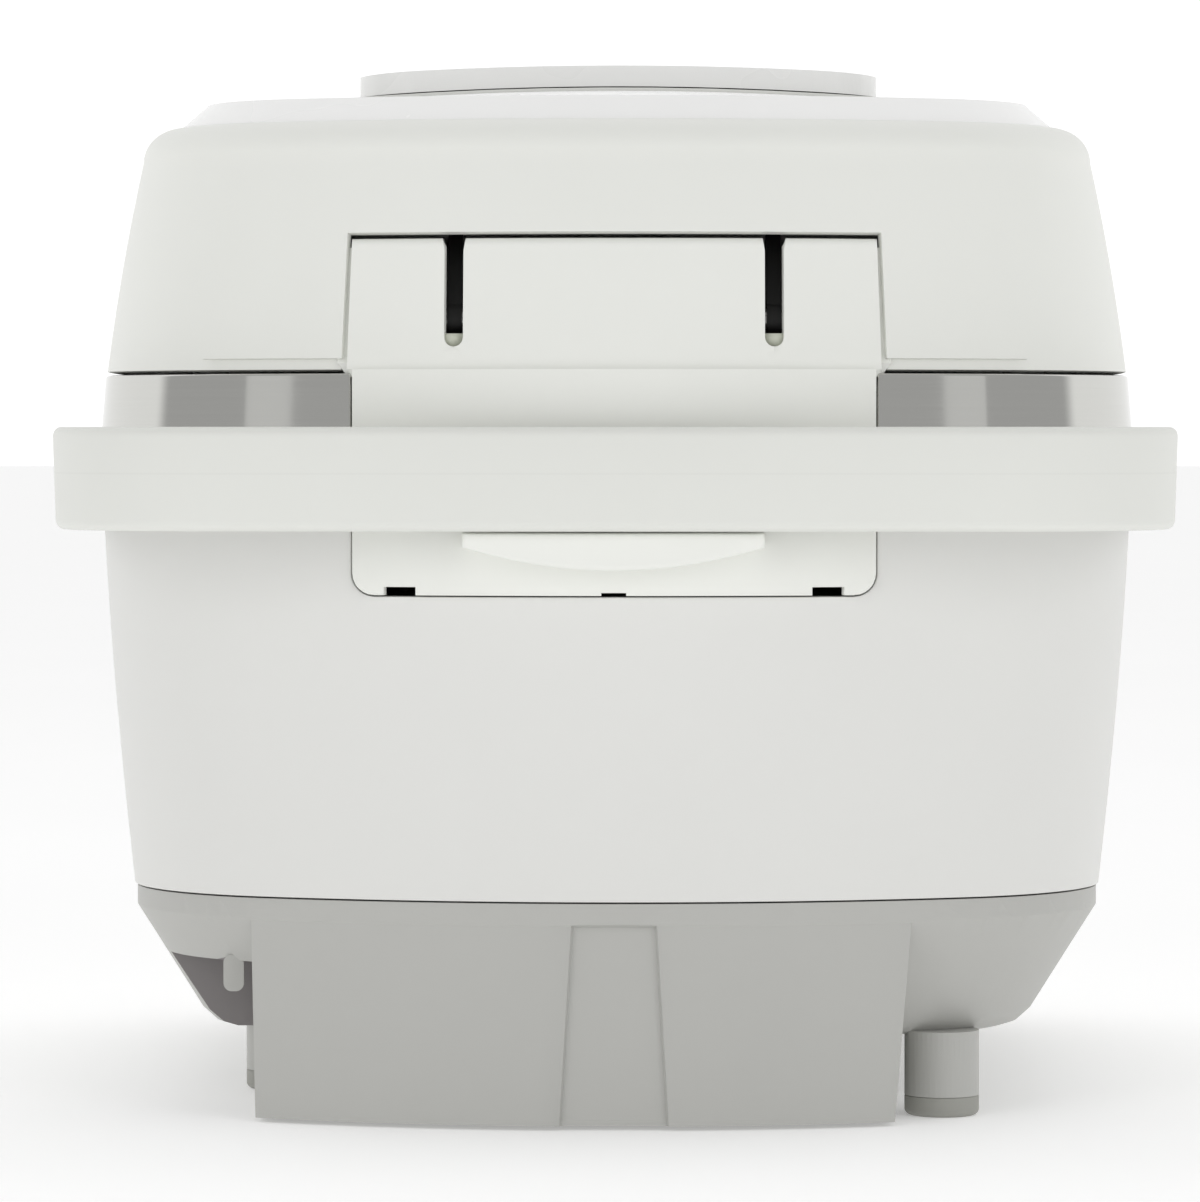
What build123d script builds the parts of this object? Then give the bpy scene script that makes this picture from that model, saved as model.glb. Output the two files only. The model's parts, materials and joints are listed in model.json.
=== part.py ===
from build123d import *
import os
from math import cos, radians, sin

# Rice cooker with an induction base. Millimetres, +Z up, -Y the control side, +Y the hinge side.
# The origin is on the floor under the middle of the overall box.

# ---- overall sizes ----
total_depth = 350.0
total_width = 278.0
foot_height = 20.0
seam_z = 55.0
ring_bottom_z = 163.0
ring_height = 19.3
lid_height = 60.8
wall = 2.6
part_gap = 0.4

# ---- carrying handle ----
handle_thickness = 8.5
handle_gap = 4.5
arm_thickness = 5.2
arm_gap = 1.4
arm_splay = 2.7
handle_bottom_z = ring_bottom_z - 18.4
handle_height = 24.8
handle_corner = 45.0
pivot_y = -25.0
pivot_z = ring_bottom_z - 2.0
pivot_pin_radius = 4.5
pivot_eye_radius = 8.5
running_gap = 0.05

# ---- plan outline of the case ----
case_half_width = total_width / 2 - arm_thickness - arm_gap
handle_rear = total_depth / 2
case_rear = handle_rear - handle_thickness - handle_gap
case_front = -total_depth / 2
case_middle = (case_front + case_rear) / 2
side_radius = 1600.0
end_radius = 230.0
corner_radius = 66.0

# ---- side taper of the case ----
ring_lean = 1.6
body_top_inset = 0.6
body_bottom_inset = 8.6
body_taper_power = 1.5
skirt_top_inset = 9.2
skirt_bottom_inset = 28.0
skirt_edge_height = 4.0
skirt_lip = 5.0
lid_gap = 0.9
lid_base_inset = 2.0
lid_lean = 0.125
lid_curve = 0.0009
rear_lean = 0.045
lid_edge_height = 8.5
lid_edge_width = 9.0

ring_top_z = ring_bottom_z + ring_height
lid_bottom_z = ring_top_z + lid_gap
rim_z = lid_bottom_z + lid_height
edge_start_z = rim_z - lid_edge_height
body_top_z = ring_bottom_z - 0.2
body_bottom_z = seam_z + 0.2
skirt_top_z = seam_z - 0.2

# ---- crown of the lid ----
crown_crest_z = rim_z + 12.5
crown_width_radius = 884.0
crown_length_radius = 1518.0
crown_inset = 20.4
crown_band_width = 6.8
crown_band_height = 6.0
panel_inset = 32.0
panel_rear = 62.0
panel_lift = 1.0
panel_depth = 3.4
panel_corner = 18.0

# ---- lid hinge and its cover ----
hinge_y = case_rear - 17.5
hinge_z = ring_top_z + 12.7
shaft_radius = 3.0
shaft_half_length = 47.0
notch_half_width_top = 64.3
notch_half_width_bottom = 65.6
notch_top_z = hinge_z + 21.2
cover_half_width_top = 63.2
cover_half_width_bottom = 64.2
cover_top_z = notch_top_z - 1.5
cover_lower_half_width = 62.8
cover_bottom_z = handle_bottom_z - 15.5
cover_barrel_radius = 22.9
cover_wall = 2.4
cover_corner = 5.3
slot_x = 38.4
slot_width = 4.55
slot_bottom_z = hinge_z - 6.4
hinge_arm_thickness = 3.5
trough_radius = 24.5
trough_wall = 2.0
boss_x = 44.0
boss_thickness = 4.0
boss_radius = 5.2
ledge_half_width = 35.9
ledge_depth = 7.6
window_x = 51.3

# ---- pot, well and heating ----
pot_y = 6.0
pot_radius = 108.0
pot_wall = 2.4
pot_height = 138.0
pot_corner = 34.0
flange_width = 5.0
flange_thickness = 2.0
pot_clearance = 2.5
well_wall = 2.0
carrier_gap = 1.0
carrier_wall = 2.5
carrier_top_z = 84.0
coil_height = 4.0
ferrite_height = 4.5
sensor_radius = 14.5
sensor_clearance = 1.5
sensor_height = 13.0
frame_top_z = ring_top_z - 1.3
frame_thickness = 3.0
well_flange_width = 7.5
collar_wall = 2.6
pot_top_z = frame_top_z
pot_bottom_z = pot_top_z - pot_height
well_top_z = pot_top_z - flange_thickness
well_bottom_z = pot_bottom_z - pot_clearance
well_radius = pot_radius + pot_clearance + well_wall
well_flange_radius = well_radius + well_flange_width - well_wall
collar_radius = well_flange_radius + 0.3

# ---- base tub with the rear housing ----
housing_left = -72.0
housing_draft_left = 4.0
housing_draft_right = 1.0
housing_right = 88.6
housing_front = 68.0
housing_bottom_z = 1.1
tub_floor = 2.5
housing_step = 0.4
channel_half_top = 9.8
channel_half_bottom = 12.8
channel_depth = 1.8
recess_right = 116.0
recess_front = 98.0
recess_top_z = foot_height + 18.5
grille_slots = 7
grille_pitch = 6.5
grille_length = 40.0
grille_width = 3.0
vent_y = -108.0
vent_slots = 11
vent_pitch = 12.0
vent_length = 34.0
vent_width = 4.0
foot_places = [(-80.5, 115.0), (86.0, 57.5), (-78.0, -108.0), (78.0, -108.0)]
foot_radius = 9.2
pad_height = 5.0
pad_corner = 1.6
pocket_wall = 2.0
tab_width = 5.0
tab_drop = 9.0
tab_thickness = 2.2
tab_rear = recess_front + 25.8
gland_radius = 6.0
gland_bore = 3.6
gland_length = 1.2

# ---- reel and fan in the rear housing ----
reel_x = 43.0
reel_y = 107.0
reel_radius = 32.0
fan_x = -34.0
fan_y = 104.0
fan_size = 60.0
fan_height = 16.0
fan_blades = 7

# ---- lid furniture ----
frame_plate_z = lid_bottom_z + 3.3
frame_plate_thickness = 2.5
cup_radius = 115.0
cup_height = 12.0
inner_lid_radius = 108.0
gasket_radius = 112.5
steam_cap_y = 20.0
steam_cap_length = 134.0
steam_cap_width = 60.0
steam_cap_top_z = crown_crest_z + 5.8
steam_cap_gap = 0.5
bowl_length = 112.0
bowl_width = 42.0
bowl_depth = 20.0
lcd_y = -78.0
lcd_length = 88.0
lcd_width = 42.0
board_z = crown_crest_z - 16.5
board_thickness = 1.6
key_gap = 0.35
key_lift = 0.5
key_travel = 0.8
key_depth = 9.0
round_key_radius = 13.0
small_key_length = 18.0
small_key_width = 9.0
button_half_width = 24.0
button_bottom_z = lid_bottom_z + 30.8
button_top_z = button_bottom_z + 16.0
button_lift = 0.8
button_travel = 3.0
hook_pivot_y = case_front + 23.6
hook_pivot_z = lid_bottom_z + 20.8
hook_half_width = 12.0
hook_thickness = 3.0
hook_pin_radius = 2.5
catch_edge_y = hook_pivot_y + 2.4

os.makedirs("parts", exist_ok=True)


def case_outline(inset, rear_trim=0.0):
    """Plan outline of the case, moved inwards by inset and forward at the rear by rear_trim."""
    with Locations((case_half_width - side_radius, case_middle)):
        Circle(side_radius - inset)
    with Locations((side_radius - case_half_width, case_middle)):
        Circle(side_radius - inset, mode=Mode.INTERSECT)
    with Locations((0, case_rear - end_radius - rear_trim)):
        Circle(end_radius - inset, mode=Mode.INTERSECT)
    with Locations((0, case_front + end_radius)):
        Circle(end_radius - inset, mode=Mode.INTERSECT)


def section(z, inset, rear_trim=0.0):
    """One rounded level of the case, ready to be lofted."""
    with BuildSketch(Plane.XY.offset(z)) as level:
        case_outline(inset, rear_trim)
        fillet(level.vertices(), radius=corner_radius - inset)
    return level.sketch


def stack(levels):
    """Straight-sided solid through the levels, each a (z, inset) or (z, inset, rear trim)."""
    with BuildPart() as solid:
        for level in levels:
            add(section(*level))
        loft(ruled=True)
    return solid.part


def body_inset(z):
    """Inset of the white body, which tapers faster the lower it gets."""
    depth = (body_top_z - z) / (body_top_z - body_bottom_z)
    return body_top_inset + (body_bottom_inset - body_top_inset) * depth ** body_taper_power


def lid_inset(z):
    """Inset of the lid's side wall, which leans in more the higher it gets."""
    height = z - lid_bottom_z
    return lid_base_inset + lid_lean * height + lid_curve * height ** 2


def lid_levels(shrink, top_z):
    """Levels of the lid's outer face, moved inwards by shrink and closed at top_z."""
    levels = []
    for z in (lid_bottom_z, lid_bottom_z + 18, lid_bottom_z + 36, edge_start_z):
        levels.append((z, lid_inset(z) + shrink, rear_lean * (z - lid_bottom_z)))
    edge_trim = rear_lean * (edge_start_z - lid_bottom_z)
    for angle in (30, 60, 85):
        rise = (top_z - edge_start_z) * sin(radians(angle)) / sin(radians(85))
        run = lid_edge_width * (1 - cos(radians(angle)))
        levels.append((edge_start_z + rise, lid_inset(edge_start_z) + shrink + run, edge_trim))
    return levels


def above_crown(lift):
    """Everything above the doubly curved crown of the lid, raised by lift."""
    crest = crown_crest_z + lift
    half_span = 150.0
    sag = half_span ** 2 / (2 * crown_width_radius)
    swing = 9.0
    plane = Plane(
        origin=(0, case_middle, crest - crown_length_radius), x_dir=(1, 0, 0),
        z_dir=(0, -cos(radians(swing)), sin(radians(swing))))
    with BuildPart() as air:
        with BuildSketch(plane):
            with BuildLine():
                low = crown_length_radius - sag
                high = crown_length_radius + 40
                ThreePointArc((-half_span, low), (0, crown_length_radius), (half_span, low))
                Polyline((half_span, low), (half_span, high), (-half_span, high), (-half_span, low))
            make_face()
        revolve(axis=Axis(plane.origin, (1, 0, 0)), revolution_arc=2 * swing)
    return air.part


def crown_solid(shrink, drop):
    """Solid under the crown: a sloped band up from the rim, then the dome."""
    with BuildPart() as solid:
        add(section(rim_z - 3.0, crown_inset + shrink, rear_lean_at_rim))
        add(section(rim_z - drop, crown_inset + shrink, rear_lean_at_rim))
        add(section(rim_z + crown_band_height - drop, crown_inset + shrink + crown_band_width,
                    rear_lean_at_rim))
        loft(ruled=True)
        with BuildSketch(Plane.XY.offset(rim_z + crown_band_height - drop)):
            add(section(0, crown_inset + shrink + crown_band_width, rear_lean_at_rim))
        extrude(amount=20)
        add(above_crown(-drop), mode=Mode.SUBTRACT)
    return solid.part


def panel_shape(inset):
    """Plan outline of the control panel, straight across at its rear."""
    with BuildSketch() as shape:
        case_outline(inset)
        with Locations((0, case_front + (panel_rear - inset + panel_inset - case_front) / 2)):
            Rectangle(2 * total_width, panel_rear - inset + panel_inset - case_front,
                      mode=Mode.INTERSECT)
        fillet(shape.vertices(), radius=panel_corner)
    return shape.sketch


def bowl_solid(radius, bottom_z, corner, top_z):
    """Round bowl with a flat bottom and a rounded lower corner, about the pot's axis."""
    with BuildPart() as bowl:
        with BuildSketch(Plane.XZ.offset(-pot_y)):
            with BuildLine():
                Line((0, top_z), (0, bottom_z))
                Line((0, bottom_z), (radius - corner, bottom_z))
                RadiusArc((radius - corner, bottom_z), (radius, bottom_z + corner), -corner)
                Line((radius, bottom_z + corner), (radius, top_z))
                Line((radius, top_z), (0, top_z))
            make_face()
        revolve(axis=Axis((0, pot_y, 0), (0, 0, 1)))
    return bowl.part


def save(piece, name):
    """Label one finished piece and write its file."""
    piece.part.label = name
    export_step(piece.part, f"parts/{name}.step")


rear_lean_at_rim = rear_lean * (edge_start_z - lid_bottom_z)

# ---------------------------------------------------------------- base
skirt_slope = (skirt_bottom_inset - skirt_top_inset) / (seam_z - skirt_lip - foot_height)
edge_inset = skirt_bottom_inset - skirt_slope * skirt_edge_height
tub_outer = stack([(foot_height, skirt_bottom_inset + skirt_edge_height),
                   (foot_height + skirt_edge_height / 4, skirt_bottom_inset + skirt_edge_height / 5),
                   (foot_height + skirt_edge_height, edge_inset),
                   (seam_z - skirt_lip, skirt_top_inset), (skirt_top_z, skirt_top_inset)])
tub_inner = stack([(foot_height + tub_floor, skirt_bottom_inset + wall),
                   (seam_z - skirt_lip, skirt_top_inset + wall),
                   (seam_z + 1, skirt_top_inset + wall)])
housing_top_z = seam_z - skirt_lip
pocket_middle = (housing_right + recess_right) / 2
with BuildPart() as tub_hollow:
    add(tub_inner)
    with BuildSketch(Plane.XY.offset(foot_height)):
        with Locations((pocket_middle, recess_front - pocket_wall + total_depth / 2)):
            Rectangle(recess_right - housing_right + 2 * pocket_wall, total_depth)
    extrude(amount=recess_top_z - foot_height + pocket_wall, mode=Mode.SUBTRACT)


def housing_block(inset, bottom_z, top_z):
    """Housing seen from the rear: its sides lean in towards the bottom, moved inwards by inset."""
    with BuildPart() as block:
        with BuildSketch(Plane.XZ.offset(-housing_front - inset)):
            with BuildLine():
                Polyline((housing_left + housing_draft_left + inset, bottom_z), (housing_left + inset, top_z),
                         (housing_right - inset, top_z),
                         (housing_right - housing_draft_right - inset, bottom_z), close=True)
            make_face()
        extrude(amount=-total_depth / 2)
    return block.part


with BuildPart() as housing_outer:
    with BuildSketch(Plane.XY.offset(housing_bottom_z)):
        case_outline(skirt_top_inset + housing_step)
    extrude(amount=housing_top_z - housing_bottom_z)
    add(housing_block(0.0, housing_bottom_z, housing_top_z), mode=Mode.INTERSECT)
with BuildPart() as housing_inner:
    with BuildSketch(Plane.XY.offset(housing_bottom_z + tub_floor)):
        case_outline(skirt_top_inset + housing_step + tub_floor)
    extrude(amount=housing_top_z - housing_bottom_z)
    add(housing_block(tub_floor, housing_bottom_z, housing_top_z + tub_floor), mode=Mode.INTERSECT)
with BuildPart() as base_tub:
    add(tub_outer)
    add(housing_outer.part)
    with BuildSketch(Plane.XY.offset(pad_height)):
        with Locations(*foot_places):
            Circle(foot_radius)
    extrude(amount=foot_height - pad_height + 1)
    add(tub_hollow.part, mode=Mode.SUBTRACT)
    add(housing_inner.part, mode=Mode.SUBTRACT)
    # shallow groove down the middle of the housing's rear face, wider at the bottom
    with BuildSketch(Plane.XZ.offset(channel_depth + skirt_top_inset + housing_step - case_rear)):
        with BuildLine():
            Polyline((-channel_half_bottom, housing_bottom_z - 1), (-channel_half_top, housing_top_z - 1),
                     (channel_half_top, housing_top_z - 1), (channel_half_bottom, housing_bottom_z - 1),
                     close=True)
        make_face()
    extrude(amount=-2 * channel_depth, taper=-20, mode=Mode.SUBTRACT)
    # open pocket for the plug beside the housing
    with BuildSketch(Plane.XY.offset(foot_height - 1)):
        with Locations((pocket_middle, recess_front + total_depth / 2)):
            Rectangle(recess_right - housing_right, total_depth)
    extrude(amount=recess_top_z - foot_height + 1, mode=Mode.SUBTRACT)
    # air grilles under the fan and in the floor near the front
    with BuildSketch(Plane.XY.offset(housing_bottom_z - 1)):
        with Locations((fan_x, fan_y)):
            with GridLocations(grille_pitch, 0, grille_slots, 1):
                SlotOverall(grille_length, grille_width, rotation=90)
    extrude(amount=tub_floor + 2, mode=Mode.SUBTRACT)
    with BuildSketch(Plane.XY.offset(foot_height - 1)):
        with Locations((0, vent_y)):
            with GridLocations(vent_pitch, 0, vent_slots, 1):
                SlotOverall(vent_length, vent_width, rotation=90)
    extrude(amount=tub_floor + 2, mode=Mode.SUBTRACT)
    # rounded tab hanging in the mouth of the pocket
    with BuildSketch(Plane.XZ.offset(-tab_rear)):
        with Locations((housing_right + tab_width, recess_top_z - tab_drop / 3)):
            RectangleRounded(tab_width, tab_drop, tab_width * 0.4)
    extrude(amount=tab_thickness)
save(base_tub, "base_tub")

with BuildPart() as rubber_feet:
    with BuildSketch():
        with Locations(*foot_places):
            Circle(foot_radius)
    extrude(amount=pad_height)
    fillet(rubber_feet.faces().group_by(Axis.Z)[0].edges(), radius=pad_corner)
save(rubber_feet, "rubber_feet")

# flat grommet on the housing's side wall, inside the pocket
with BuildPart() as cord_gland:
    with BuildSketch(Plane.YZ.offset(housing_right)):
        with Locations((recess_front + gland_radius + 2, foot_height + gland_radius + 2)):
            Circle(gland_radius)
            Circle(gland_bore, mode=Mode.SUBTRACT)
    extrude(amount=gland_length)
save(cord_gland, "cord_gland")

# ---------------------------------------------------------------- body
with BuildPart() as pin_passage:
    for side in (-1, 1):
        with BuildSketch(Plane.YZ.offset(side * (case_half_width - 2 * wall))):
            with Locations((pivot_y, pivot_z)):
                Circle(pivot_pin_radius)
        extrude(amount=side * 3 * wall)
body_steps = 5
body_heights = [body_bottom_z + (body_top_z - body_bottom_z) * step / body_steps
                for step in range(body_steps + 1)]
with BuildPart() as outer_body_shell:
    add(stack([(z, body_inset(z)) for z in body_heights]))
    add(stack([(z, body_inset(z) + wall) for z in body_heights]), mode=Mode.SUBTRACT)
    # opening behind the lower half of the hinge cover
    with BuildSketch(Plane.XZ.offset(-hinge_y + 40)):
        with Locations((0, cover_bottom_z - part_gap + total_depth / 2)):
            RectangleRounded(2 * (cover_lower_half_width + part_gap), total_depth,
                             cover_corner + part_gap)
    extrude(amount=-total_depth, mode=Mode.SUBTRACT)
    add(pin_passage.part, mode=Mode.SUBTRACT)
save(outer_body_shell, "outer_body_shell")

cover_slot_half = cover_lower_half_width + part_gap
with BuildPart() as ring_trim:
    add(stack([(ring_bottom_z, 0.0), (ring_top_z, ring_lean)]))
    add(stack([(ring_bottom_z, wall), (ring_top_z, ring_lean + wall)]), mode=Mode.SUBTRACT)
    with BuildSketch(Plane.XY.offset(ring_bottom_z)):
        with Locations((0, case_rear)):
            Rectangle(2 * cover_slot_half, total_depth / 4)
    extrude(amount=ring_height, mode=Mode.SUBTRACT)
    add(pin_passage.part, mode=Mode.SUBTRACT)
save(ring_trim, "ring_trim")

frame_inset = ring_lean + wall + 0.3
catch_slot_half = hook_half_width + 2.0
catch_slot_depth = 11.0
cover_back_inset = frame_inset + cover_wall
with BuildSketch() as cover_bay:
    with Locations((0, case_rear)):
        Rectangle(2 * cover_slot_half, total_depth / 4)
    add(section(0, cover_back_inset + part_gap), mode=Mode.SUBTRACT)
with BuildPart() as body_top_frame:
    with BuildSketch(Plane.XY.offset(frame_top_z - frame_thickness)):
        add(section(0, frame_inset))
        with Locations((0, pot_y)):
            Circle(collar_radius, mode=Mode.SUBTRACT)
        with Locations((0, catch_edge_y - catch_slot_depth / 2)):
            Rectangle(2 * catch_slot_half, catch_slot_depth, mode=Mode.SUBTRACT)
        add(cover_bay.sketch, mode=Mode.SUBTRACT)
    extrude(amount=frame_thickness)
    # collar and ledge that carry the pot well
    with BuildSketch(Plane.XY.offset(well_top_z - 5.0)):
        with Locations((0, pot_y)):
            Circle(collar_radius + collar_wall)
            Circle(collar_radius, mode=Mode.SUBTRACT)
    extrude(amount=frame_top_z - well_top_z + 5.0)
    with BuildSketch(Plane.XY.offset(well_top_z - 5.0)):
        with Locations((0, pot_y)):
            Circle(collar_radius)
            Circle(well_radius + 0.3, mode=Mode.SUBTRACT)
    extrude(amount=3.0)
    # two bosses that carry the hinge shaft
    for side in (-1, 1):
        with BuildSketch(Plane.YZ.offset(side * boss_x - boss_thickness / 2)):
            with BuildLine():
                Polyline((hinge_y - 9, frame_top_z), (hinge_y - boss_radius, hinge_z),
                         (hinge_y + boss_radius, hinge_z), (hinge_y + 4, frame_top_z), close=True)
            make_face()
            with Locations((hinge_y, hinge_z)):
                Circle(boss_radius)
            with Locations((hinge_y, hinge_z)):
                Circle(shaft_radius + running_gap, mode=Mode.SUBTRACT)
        extrude(amount=boss_thickness)
save(body_top_frame, "body_top_frame")

with BuildPart() as hinge_shaft:
    with BuildSketch(Plane.YZ.offset(-shaft_half_length)):
        with Locations((hinge_y, hinge_z)):
            Circle(shaft_radius)
    extrude(amount=2 * shaft_half_length)
    chamfer(hinge_shaft.faces().filter_by(GeomType.PLANE).edges(), length=0.6)
save(hinge_shaft, "hinge_shaft")

spring_radius = shaft_radius + 4.2
with BuildPart() as hinge_springs:
    for side in (-1, 1):
        with BuildSketch(Plane.YZ.offset(side * 24.0 - 9.0)):
            with Locations((hinge_y, hinge_z)):
                Circle(spring_radius)
                Circle(shaft_radius + 0.4, mode=Mode.SUBTRACT)
        extrude(amount=18.0)
save(hinge_springs, "hinge_springs")

# ---------------------------------------------------------------- hinge cover
cover_skin = 0.4
with BuildPart() as cover_upper:
    add(stack(lid_levels(cover_skin, rim_z)))
    with BuildSketch(Plane.XZ.offset(-hinge_y)):
        with BuildLine():
            Polyline((-cover_half_width_bottom, lid_bottom_z), (-cover_half_width_top, cover_top_z),
                     (cover_half_width_top, cover_top_z), (cover_half_width_bottom, lid_bottom_z),
                     close=True)
        make_face()
    extrude(amount=60, both=True, mode=Mode.INTERSECT)
    with BuildSketch(Plane.YZ.offset(-total_width / 2)):
        with Locations((hinge_y, hinge_z)):
            Circle(cover_barrel_radius)
    extrude(amount=total_width, mode=Mode.INTERSECT)
with BuildPart() as cover_hollow:
    add(stack(lid_levels(cover_skin + cover_wall, rim_z)))
    with BuildSketch(Plane.XZ.offset(-hinge_y)):
        with Locations((0, (lid_bottom_z + cover_top_z - cover_wall) / 2)):
            Rectangle(2 * (cover_half_width_top - cover_wall), cover_top_z - cover_wall - lid_bottom_z)
    extrude(amount=60, both=True, mode=Mode.INTERSECT)
    with BuildSketch(Plane.YZ.offset(-total_width / 2)):
        with Locations((hinge_y, hinge_z)):
            Circle(cover_barrel_radius - cover_wall)
    extrude(amount=total_width, mode=Mode.INTERSECT)
cover_foot_inset = 0.2
with BuildPart() as rear_hinge_cover:
    with BuildSketch(Plane.XY.offset(cover_bottom_z)):
        case_outline(cover_foot_inset)
        add(section(0, cover_back_inset), mode=Mode.SUBTRACT)
        with Locations((0, case_rear)):
            Rectangle(2 * cover_lower_half_width + 10, 60, mode=Mode.INTERSECT)
    extrude(amount=lid_bottom_z - cover_bottom_z)
    with BuildSketch(Plane.XZ.offset(-hinge_y)):
        with Locations((0, (cover_bottom_z + lid_bottom_z) / 2 + cover_corner)):
            RectangleRounded(2 * cover_lower_half_width, lid_bottom_z - cover_bottom_z
                             + 2 * cover_corner, cover_corner)
    extrude(amount=60, both=True, mode=Mode.INTERSECT)
    add(cover_upper.part)
    add(cover_hollow.part, mode=Mode.SUBTRACT)
    # slots that the lid's hinge arms swing through
    for side in (-1, 1):
        with BuildSketch(Plane.XZ.offset(-hinge_y)):
            with Locations((side * slot_x, slot_bottom_z + slot_width / 2)):
                Circle(slot_width / 2)
            with Locations((side * slot_x, (slot_bottom_z + slot_width / 2 + rim_z) / 2)):
                Rectangle(slot_width, rim_z - slot_bottom_z - slot_width / 2)
        extrude(amount=60, both=True, mode=Mode.SUBTRACT)
    # small drain windows along the lower edge
    with BuildSketch(Plane.XZ.offset(-hinge_y)):
        with Locations((-window_x, cover_bottom_z + 1), (window_x, cover_bottom_z + 1)):
            Rectangle(7.7, 2.0)
        with Locations((0, cover_bottom_z)):
            Rectangle(6.0, 1.4)
    extrude(amount=-60, mode=Mode.SUBTRACT)
    # lens-shaped ledge that the folded handle rests on
    with BuildSketch(Plane.XZ.offset(-case_rear + 2.0)):
        with BuildLine():
            top = handle_bottom_z - part_gap
            Line((-ledge_half_width, top), (ledge_half_width, top))
            Line((ledge_half_width, top), (ledge_half_width, top - 3.4))
            ThreePointArc((ledge_half_width, top - 3.4), (0, top - 9.0), (-ledge_half_width, top - 3.4))
            Line((-ledge_half_width, top - 3.4), (-ledge_half_width, top))
        make_face()
    extrude(amount=-ledge_depth - 2.0)
save(rear_hinge_cover, "rear_hinge_cover")

# ---------------------------------------------------------------- pot and heating
with BuildPart() as pot_well:
    add(bowl_solid(well_radius, well_bottom_z - well_wall, pot_corner + pot_clearance + well_wall,
                   well_top_z))
    with BuildSketch(Plane.XY.offset(well_top_z - well_wall)):
        with Locations((0, pot_y)):
            Circle(well_flange_radius)
    extrude(amount=well_wall)
    add(bowl_solid(well_radius - well_wall, well_bottom_z, pot_corner + pot_clearance,
                   well_top_z + 1), mode=Mode.SUBTRACT)
    with BuildSketch(Plane.XY.offset(well_bottom_z - well_wall)):
        with Locations((0, pot_y)):
            Circle(sensor_radius + sensor_clearance)
    extrude(amount=well_wall, mode=Mode.SUBTRACT)
save(pot_well, "pot_well")

with BuildPart() as inner_pot:
    add(bowl_solid(pot_radius, pot_bottom_z, pot_corner, pot_top_z))
    with BuildSketch(Plane.XY.offset(well_top_z)):
        with Locations((0, pot_y)):
            Circle(pot_radius + flange_width)
    extrude(amount=flange_thickness)
    add(bowl_solid(pot_radius - pot_wall, pot_bottom_z + pot_wall, pot_corner - pot_wall,
                   pot_top_z + 1), mode=Mode.SUBTRACT)
save(inner_pot, "inner_pot")

carrier_radius = well_radius + carrier_gap + carrier_wall
carrier_bottom_z = well_bottom_z - well_wall - carrier_gap - carrier_wall
carrier_corner = pot_corner + pot_clearance + well_wall + carrier_gap + carrier_wall
with BuildPart() as coil_carrier:
    add(bowl_solid(carrier_radius, carrier_bottom_z, carrier_corner, carrier_top_z))
    add(bowl_solid(carrier_radius - carrier_wall, carrier_bottom_z + carrier_wall,
                   carrier_corner - carrier_wall, carrier_top_z + 1), mode=Mode.SUBTRACT)
    with BuildSketch(Plane.XY.offset(carrier_bottom_z)):
        with Locations((0, pot_y)):
            Circle(sensor_radius + sensor_clearance + 2.0)
    extrude(amount=carrier_wall, mode=Mode.SUBTRACT)
save(coil_carrier, "coil_carrier")

with BuildPart() as induction_coils:
    with BuildSketch(Plane.XY.offset(carrier_bottom_z - coil_height)):
        with Locations((0, pot_y)):
            Circle(46)
            Circle(24, mode=Mode.SUBTRACT)
            Circle(70)
            Circle(52, mode=Mode.SUBTRACT)
            Circle(46)
            Circle(24, mode=Mode.SUBTRACT)
    extrude(amount=coil_height)
save(induction_coils, "induction_coils")

ferrite_bottom_z = carrier_bottom_z - coil_height - ferrite_height
with BuildPart() as ferrite_bars:
    with BuildSketch(Plane.XY.offset(ferrite_bottom_z)):
        with Locations((0, pot_y)):
            with PolarLocations(47, 6, start_angle=30):
                Rectangle(50, 9)
    extrude(amount=ferrite_height)
save(ferrite_bars, "ferrite_bars")

sensor_top_z = pot_bottom_z - 0.2
with BuildPart() as centre_sensor:
    with BuildSketch(Plane.XY.offset(sensor_top_z - sensor_height)):
        with Locations((0, pot_y)):
            Circle(sensor_radius)
    extrude(amount=sensor_height)
    fillet(centre_sensor.faces().sort_by(Axis.Z)[-1].edges(), radius=1.2)
save(centre_sensor, "centre_sensor")

spring_bottom_z = foot_height + tub_floor
with BuildPart() as sensor_spring:
    with BuildSketch(Plane.XY.offset(spring_bottom_z)):
        with Locations((0, pot_y)):
            Circle(8)
            Circle(6.4, mode=Mode.SUBTRACT)
    extrude(amount=sensor_top_z - sensor_height - spring_bottom_z)
save(sensor_spring, "sensor_spring")

# ---------------------------------------------------------------- electronics
board_y = -128.0
board_half_width = 82.0
board_bottom_z = 66.0
board_height = 88.0
with BuildPart() as power_board:
    with BuildSketch(Plane.XZ.offset(-board_y)):
        with Locations((0, board_bottom_z + board_height / 2)):
            Rectangle(2 * board_half_width, board_height)
    extrude(amount=board_thickness)
save(power_board, "power_board")

board_face_y = board_y - board_thickness
with BuildPart() as heat_sink:
    with BuildSketch(Plane.XZ.offset(-board_face_y)):
        with Locations((-38, board_bottom_z + 40)):
            Rectangle(58, 52)
    extrude(amount=3)
    with BuildSketch(Plane.XZ.offset(-board_face_y + 3)):
        with Locations((-38, board_bottom_z + 40)):
            with GridLocations(6.8, 0, 9, 1):
                Rectangle(1.4, 52)
    extrude(amount=17)
save(heat_sink, "heat_sink")

with BuildPart() as board_components:
    with BuildSketch(Plane.XZ.offset(-board_face_y)):
        with Locations((18, board_bottom_z + 22), (40, board_bottom_z + 22)):
            Circle(9)
        with Locations((62, board_bottom_z + 30)):
            RectangleRounded(16, 34, 1.5)
        with Locations((26, board_bottom_z + 58)):
            RectangleRounded(30, 26, 1.5)
        with Locations((60, board_bottom_z + 66)):
            RectangleRounded(24, 14, 1.0)
    extrude(amount=18)
save(board_components, "board_components")

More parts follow.
